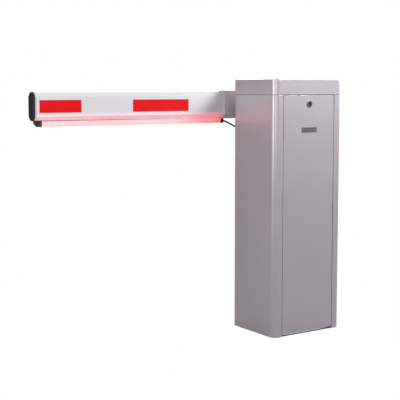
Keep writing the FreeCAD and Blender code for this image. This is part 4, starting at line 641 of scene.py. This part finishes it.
glow_along = glow_tree.nodes.new("ShaderNodeMapRange")
glow_along.inputs["From Min"].default_value = glow_tip
glow_along.inputs["From Max"].default_value = glow_root
glow_tree.links.new(glow_apart.outputs["X"], glow_along.inputs["Value"])
glow_ramp = glow_tree.nodes.new("ShaderNodeValToRGB")
glow_stops = glow_ramp.color_ramp.elements
glow_stops[0].color = (1.0, 0.43, 0.45, 1)
glow_stops[1].color = (1.0, 0.09, 0.11, 1)
middle_stop = glow_stops.new(0.72)
middle_stop.color = (1.0, 0.40, 0.42, 1)
glow_tree.links.new(glow_along.outputs["Result"], glow_ramp.inputs["Fac"])
glow_spots = glow_tree.nodes.new("ShaderNodeTexWave")
glow_spots.inputs["Scale"].default_value = 10
glow_spots.bands_direction = "X"
glow_tree.links.new(glow_where.outputs["Object"], glow_spots.inputs["Vector"])
glow_spot_lift = glow_tree.nodes.new("ShaderNodeMapRange")
glow_spot_lift.inputs["To Min"].default_value = 0.94
glow_spot_lift.inputs["To Max"].default_value = 1.04
glow_tree.links.new(glow_spots.outputs["Fac"], glow_spot_lift.inputs["Value"])
glow_colour = glow_tree.nodes.new("ShaderNodeVectorMath")
glow_colour.operation = "SCALE"
glow_tree.links.new(glow_ramp.outputs["Color"], glow_colour.inputs[0])
glow_tree.links.new(glow_spot_lift.outputs["Result"], glow_colour.inputs["Scale"])
glow_tree.links.new(glow_colour.outputs[0], glow_shader.inputs["Emission Color"])
dress(glow, "light_diffuser")
strip_white = finish(
    "strip_white", (0.80, 0.80, 0.78), 0.0, 0.45, grain=0.0006, mottle=0.05, mottle_size=0.01, wear=0.0,
    bump=0.1, spread=0.1, edge=0.0002,
)
dress(strip_white, "light_strip")

# ---------------------------------------------------------------- balance spring
# Six millimetre spring steel wire, oil-blued, wound round the boom shaft with a leg at each end.
# The front leg bears on the stop lever's peg and the rear one on the rear plate's peg.
# On the gate the front end turns with the boom and the coil twists; here the coil is one fixed mesh that
# does not.
shaft_z = 0.899
spring_turns, spring_r, spring_leg, wire_r = 6.5, 0.030, 0.022, 0.003
spring_y0, spring_y1 = 0.052, 0.103
leg_steps, turn_steps, wire_sides = 8, 28, 12
spring_points = []
for step in range(leg_steps):
    spring_points.append((spring_r + spring_leg * (1 - step / leg_steps), spring_y0, shaft_z))
for step in range(int(spring_turns * turn_steps) + 1):
    turn = 2 * math.pi * step / turn_steps
    along = spring_y0 + (spring_y1 - spring_y0) * step / (spring_turns * turn_steps)
    spring_points.append((spring_r * math.cos(turn), along, shaft_z - spring_r * math.sin(turn)))
for step in range(1, leg_steps + 1):
    spring_points.append((-spring_r - spring_leg * step / leg_steps, spring_y1, shaft_z))
spring_mesh = bmesh.new()
spring_rings = []
for index, centre in enumerate(spring_points):
    here = Vector(centre)
    before = Vector(spring_points[max(index - 1, 0)])
    after = Vector(spring_points[min(index + 1, len(spring_points) - 1)])
    forward = (after - before).normalized()
    across = Vector((0, 1, 0)).cross(forward).normalized()
    up = forward.cross(across)
    ring = []
    for side in range(wire_sides):
        turn = 2 * math.pi * side / wire_sides
        outward = across * math.cos(turn) + up * math.sin(turn)
        ring.append(spring_mesh.verts.new(here + outward * wire_r))
    spring_rings.append(ring)
for first, second in zip(spring_rings, spring_rings[1:]):
    for side in range(wire_sides):
        beside = (side + 1) % wire_sides
        spring_mesh.faces.new((first[side], first[beside], second[beside], second[side]))
spring_mesh.faces.new(list(reversed(spring_rings[0])))
spring_mesh.faces.new(spring_rings[-1])
bmesh.ops.recalc_face_normals(spring_mesh, faces=spring_mesh.faces)
spring_data = bpy.data.meshes.new("spring_coil")
spring_mesh.to_mesh(spring_data)
spring_mesh.free()
spring_data.shade_smooth()
spring_coil = bpy.data.objects.new("spring_coil", spring_data)
bpy.context.collection.objects.link(spring_coil)
spring_steel = finish(
    "spring_steel", (0.045, 0.048, 0.062), 0.9, 0.28, grain=0.0008, mottle=0.3, mottle_size=0.01, wear=0.4,
    bump=0.15, spread=0.15, edge=0.0004,
)
spring_data.materials.append(spring_steel)
dress(spring_steel, "balance_spring")
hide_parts("balance_spring")
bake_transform(spring_coil)

# ---------------------------------------------------------------- floor and studio light
# The camera sees the floor and the world as white whatever the lamps do; a painted shadow darkens the floor
# in narrow gaps.
# A soft key stands at the front right and a tall strip at the left, with a small lamp for the boom.
# Two lamps stand behind, one at the right and a weak one above. Most stand high, so the top is brighter.
floor_half = 30
floor_corners = [
    (x * floor_half, y * floor_half, 0) for x, y in ((-1, -1), (1, -1), (1, 1), (-1, 1))
]
floor_data = bpy.data.meshes.new("floor")
floor_data.from_pydata(floor_corners, [], [(0, 1, 2, 3)])
floor = bpy.data.objects.new("floor", floor_data)
bpy.context.collection.objects.link(floor)
floor_paint = bpy.data.materials.new("floor_white")
floor_paint.use_nodes = True
floor_tree = floor_paint.node_tree
floor_shader = floor_tree.nodes["Principled BSDF"]
floor_shader.inputs["Base Color"].default_value = (0.22, 0.20, 0.21, 1)
floor_shader.inputs["Roughness"].default_value = 0.9
floor_out = floor_tree.nodes["Material Output"]
floor_seen = floor_tree.nodes.new("ShaderNodeLightPath")
floor_white = floor_tree.nodes.new("ShaderNodeEmission")
# painted shadow: occlusion within 5 cm turns the camera-seen white floor dark in narrow gaps, such as under
# the door
floor_shade_occlusion = floor_tree.nodes.new("ShaderNodeAmbientOcclusion")
floor_shade_occlusion.inputs["Distance"].default_value = 0.05
floor_painted_shadow = floor_tree.nodes.new("ShaderNodeValToRGB")
floor_painted_shadow.color_ramp.elements[0].position = 0.18
floor_painted_shadow.color_ramp.elements[0].color = (0.03, 0.022, 0.024, 1)
floor_painted_shadow.color_ramp.elements[1].position = 0.48
floor_painted_shadow.color_ramp.elements[1].color = (1, 1, 1, 1)
floor_tree.links.new(floor_shade_occlusion.outputs["AO"], floor_painted_shadow.inputs["Fac"])
floor_tree.links.new(floor_painted_shadow.outputs["Color"], floor_white.inputs["Color"])
floor_mix = floor_tree.nodes.new("ShaderNodeMixShader")
floor_tree.links.new(floor_seen.outputs["Is Camera Ray"], floor_mix.inputs["Fac"])
floor_tree.links.new(floor_shader.outputs["BSDF"], floor_mix.inputs[1])
floor_tree.links.new(floor_white.outputs["Emission"], floor_mix.inputs[2])
floor_tree.links.new(floor_mix.outputs["Shader"], floor_out.inputs["Surface"])
floor_data.materials.append(floor_paint)

world = bpy.data.worlds.new("studio")
bpy.context.scene.world = world
world.use_nodes = True
world_tree = world.node_tree
world_soft = world_tree.nodes["Background"]
world_soft.inputs["Color"].default_value = (1, 0.985, 1, 1)
world_soft.inputs["Strength"].default_value = 0.23
world_seen = world_tree.nodes.new("ShaderNodeLightPath")
world_white = world_tree.nodes.new("ShaderNodeBackground")
world_white.inputs["Color"].default_value = (1, 1, 1, 1)
world_mix = world_tree.nodes.new("ShaderNodeMixShader")
world_tree.links.new(world_seen.outputs["Is Camera Ray"], world_mix.inputs["Fac"])
world_tree.links.new(world_soft.outputs["Background"], world_mix.inputs[1])
world_tree.links.new(world_white.outputs["Background"], world_mix.inputs[2])
world_tree.links.new(world_mix.outputs["Shader"], world_tree.nodes["World Output"].inputs["Surface"])

for light_name, light_spot, light_aim, light_wide, light_tall, light_power, light_tint in (
    ("key", (0.75, -1.25, 1.85), (0.0, -0.1, 0.85), 0.6, 0.6, 47, (1.0, 0.98, 1.0)),
    ("left_strip", (-2.3, -0.36, 1.25), (-0.17, -0.1, 0.8), 0.13, 1.3, 28, (1.0, 0.965, 0.955)),
    ("boom_light", (-1.3, -1.5, 1.0), (-0.9, 0.17, 0.9), 0.4, 0.4, 7, (1.0, 1.0, 1.0)),
    ("back", (0.7, 2.1, 2.5), (-0.2, 0.15, 0.8), 0.9, 0.9, 42, (1.0, 0.985, 1.0)),
    ("back_left", (-0.6, 2.4, 2.3), (-0.6, 0.2, 0.8), 0.6, 0.9, 20, (1.0, 0.985, 1.0)),
    ("right", (2.4, 0.4, 1.5), (0.17, 0.0, 0.7), 0.6, 1.0, 22, (1.0, 0.985, 1.0)),
    ("top", (-0.1, -0.1, 3.0), (-0.1, 0.1, 0.9), 1.2, 1.2, 4, (1.0, 1.0, 1.0)),
):
    light_data = bpy.data.lights.new(light_name, "AREA")
    light_data.shape = "RECTANGLE"
    light_data.size = light_wide
    light_data.size_y = light_tall
    light_data.energy = light_power
    light_data.color = light_tint
    light = bpy.data.objects.new(light_name, light_data)
    light.location = light_spot
    light.rotation_euler = (Vector(light_aim) - Vector(light_spot)).to_track_quat("-Z", "Y").to_euler()
    bpy.context.collection.objects.link(light)
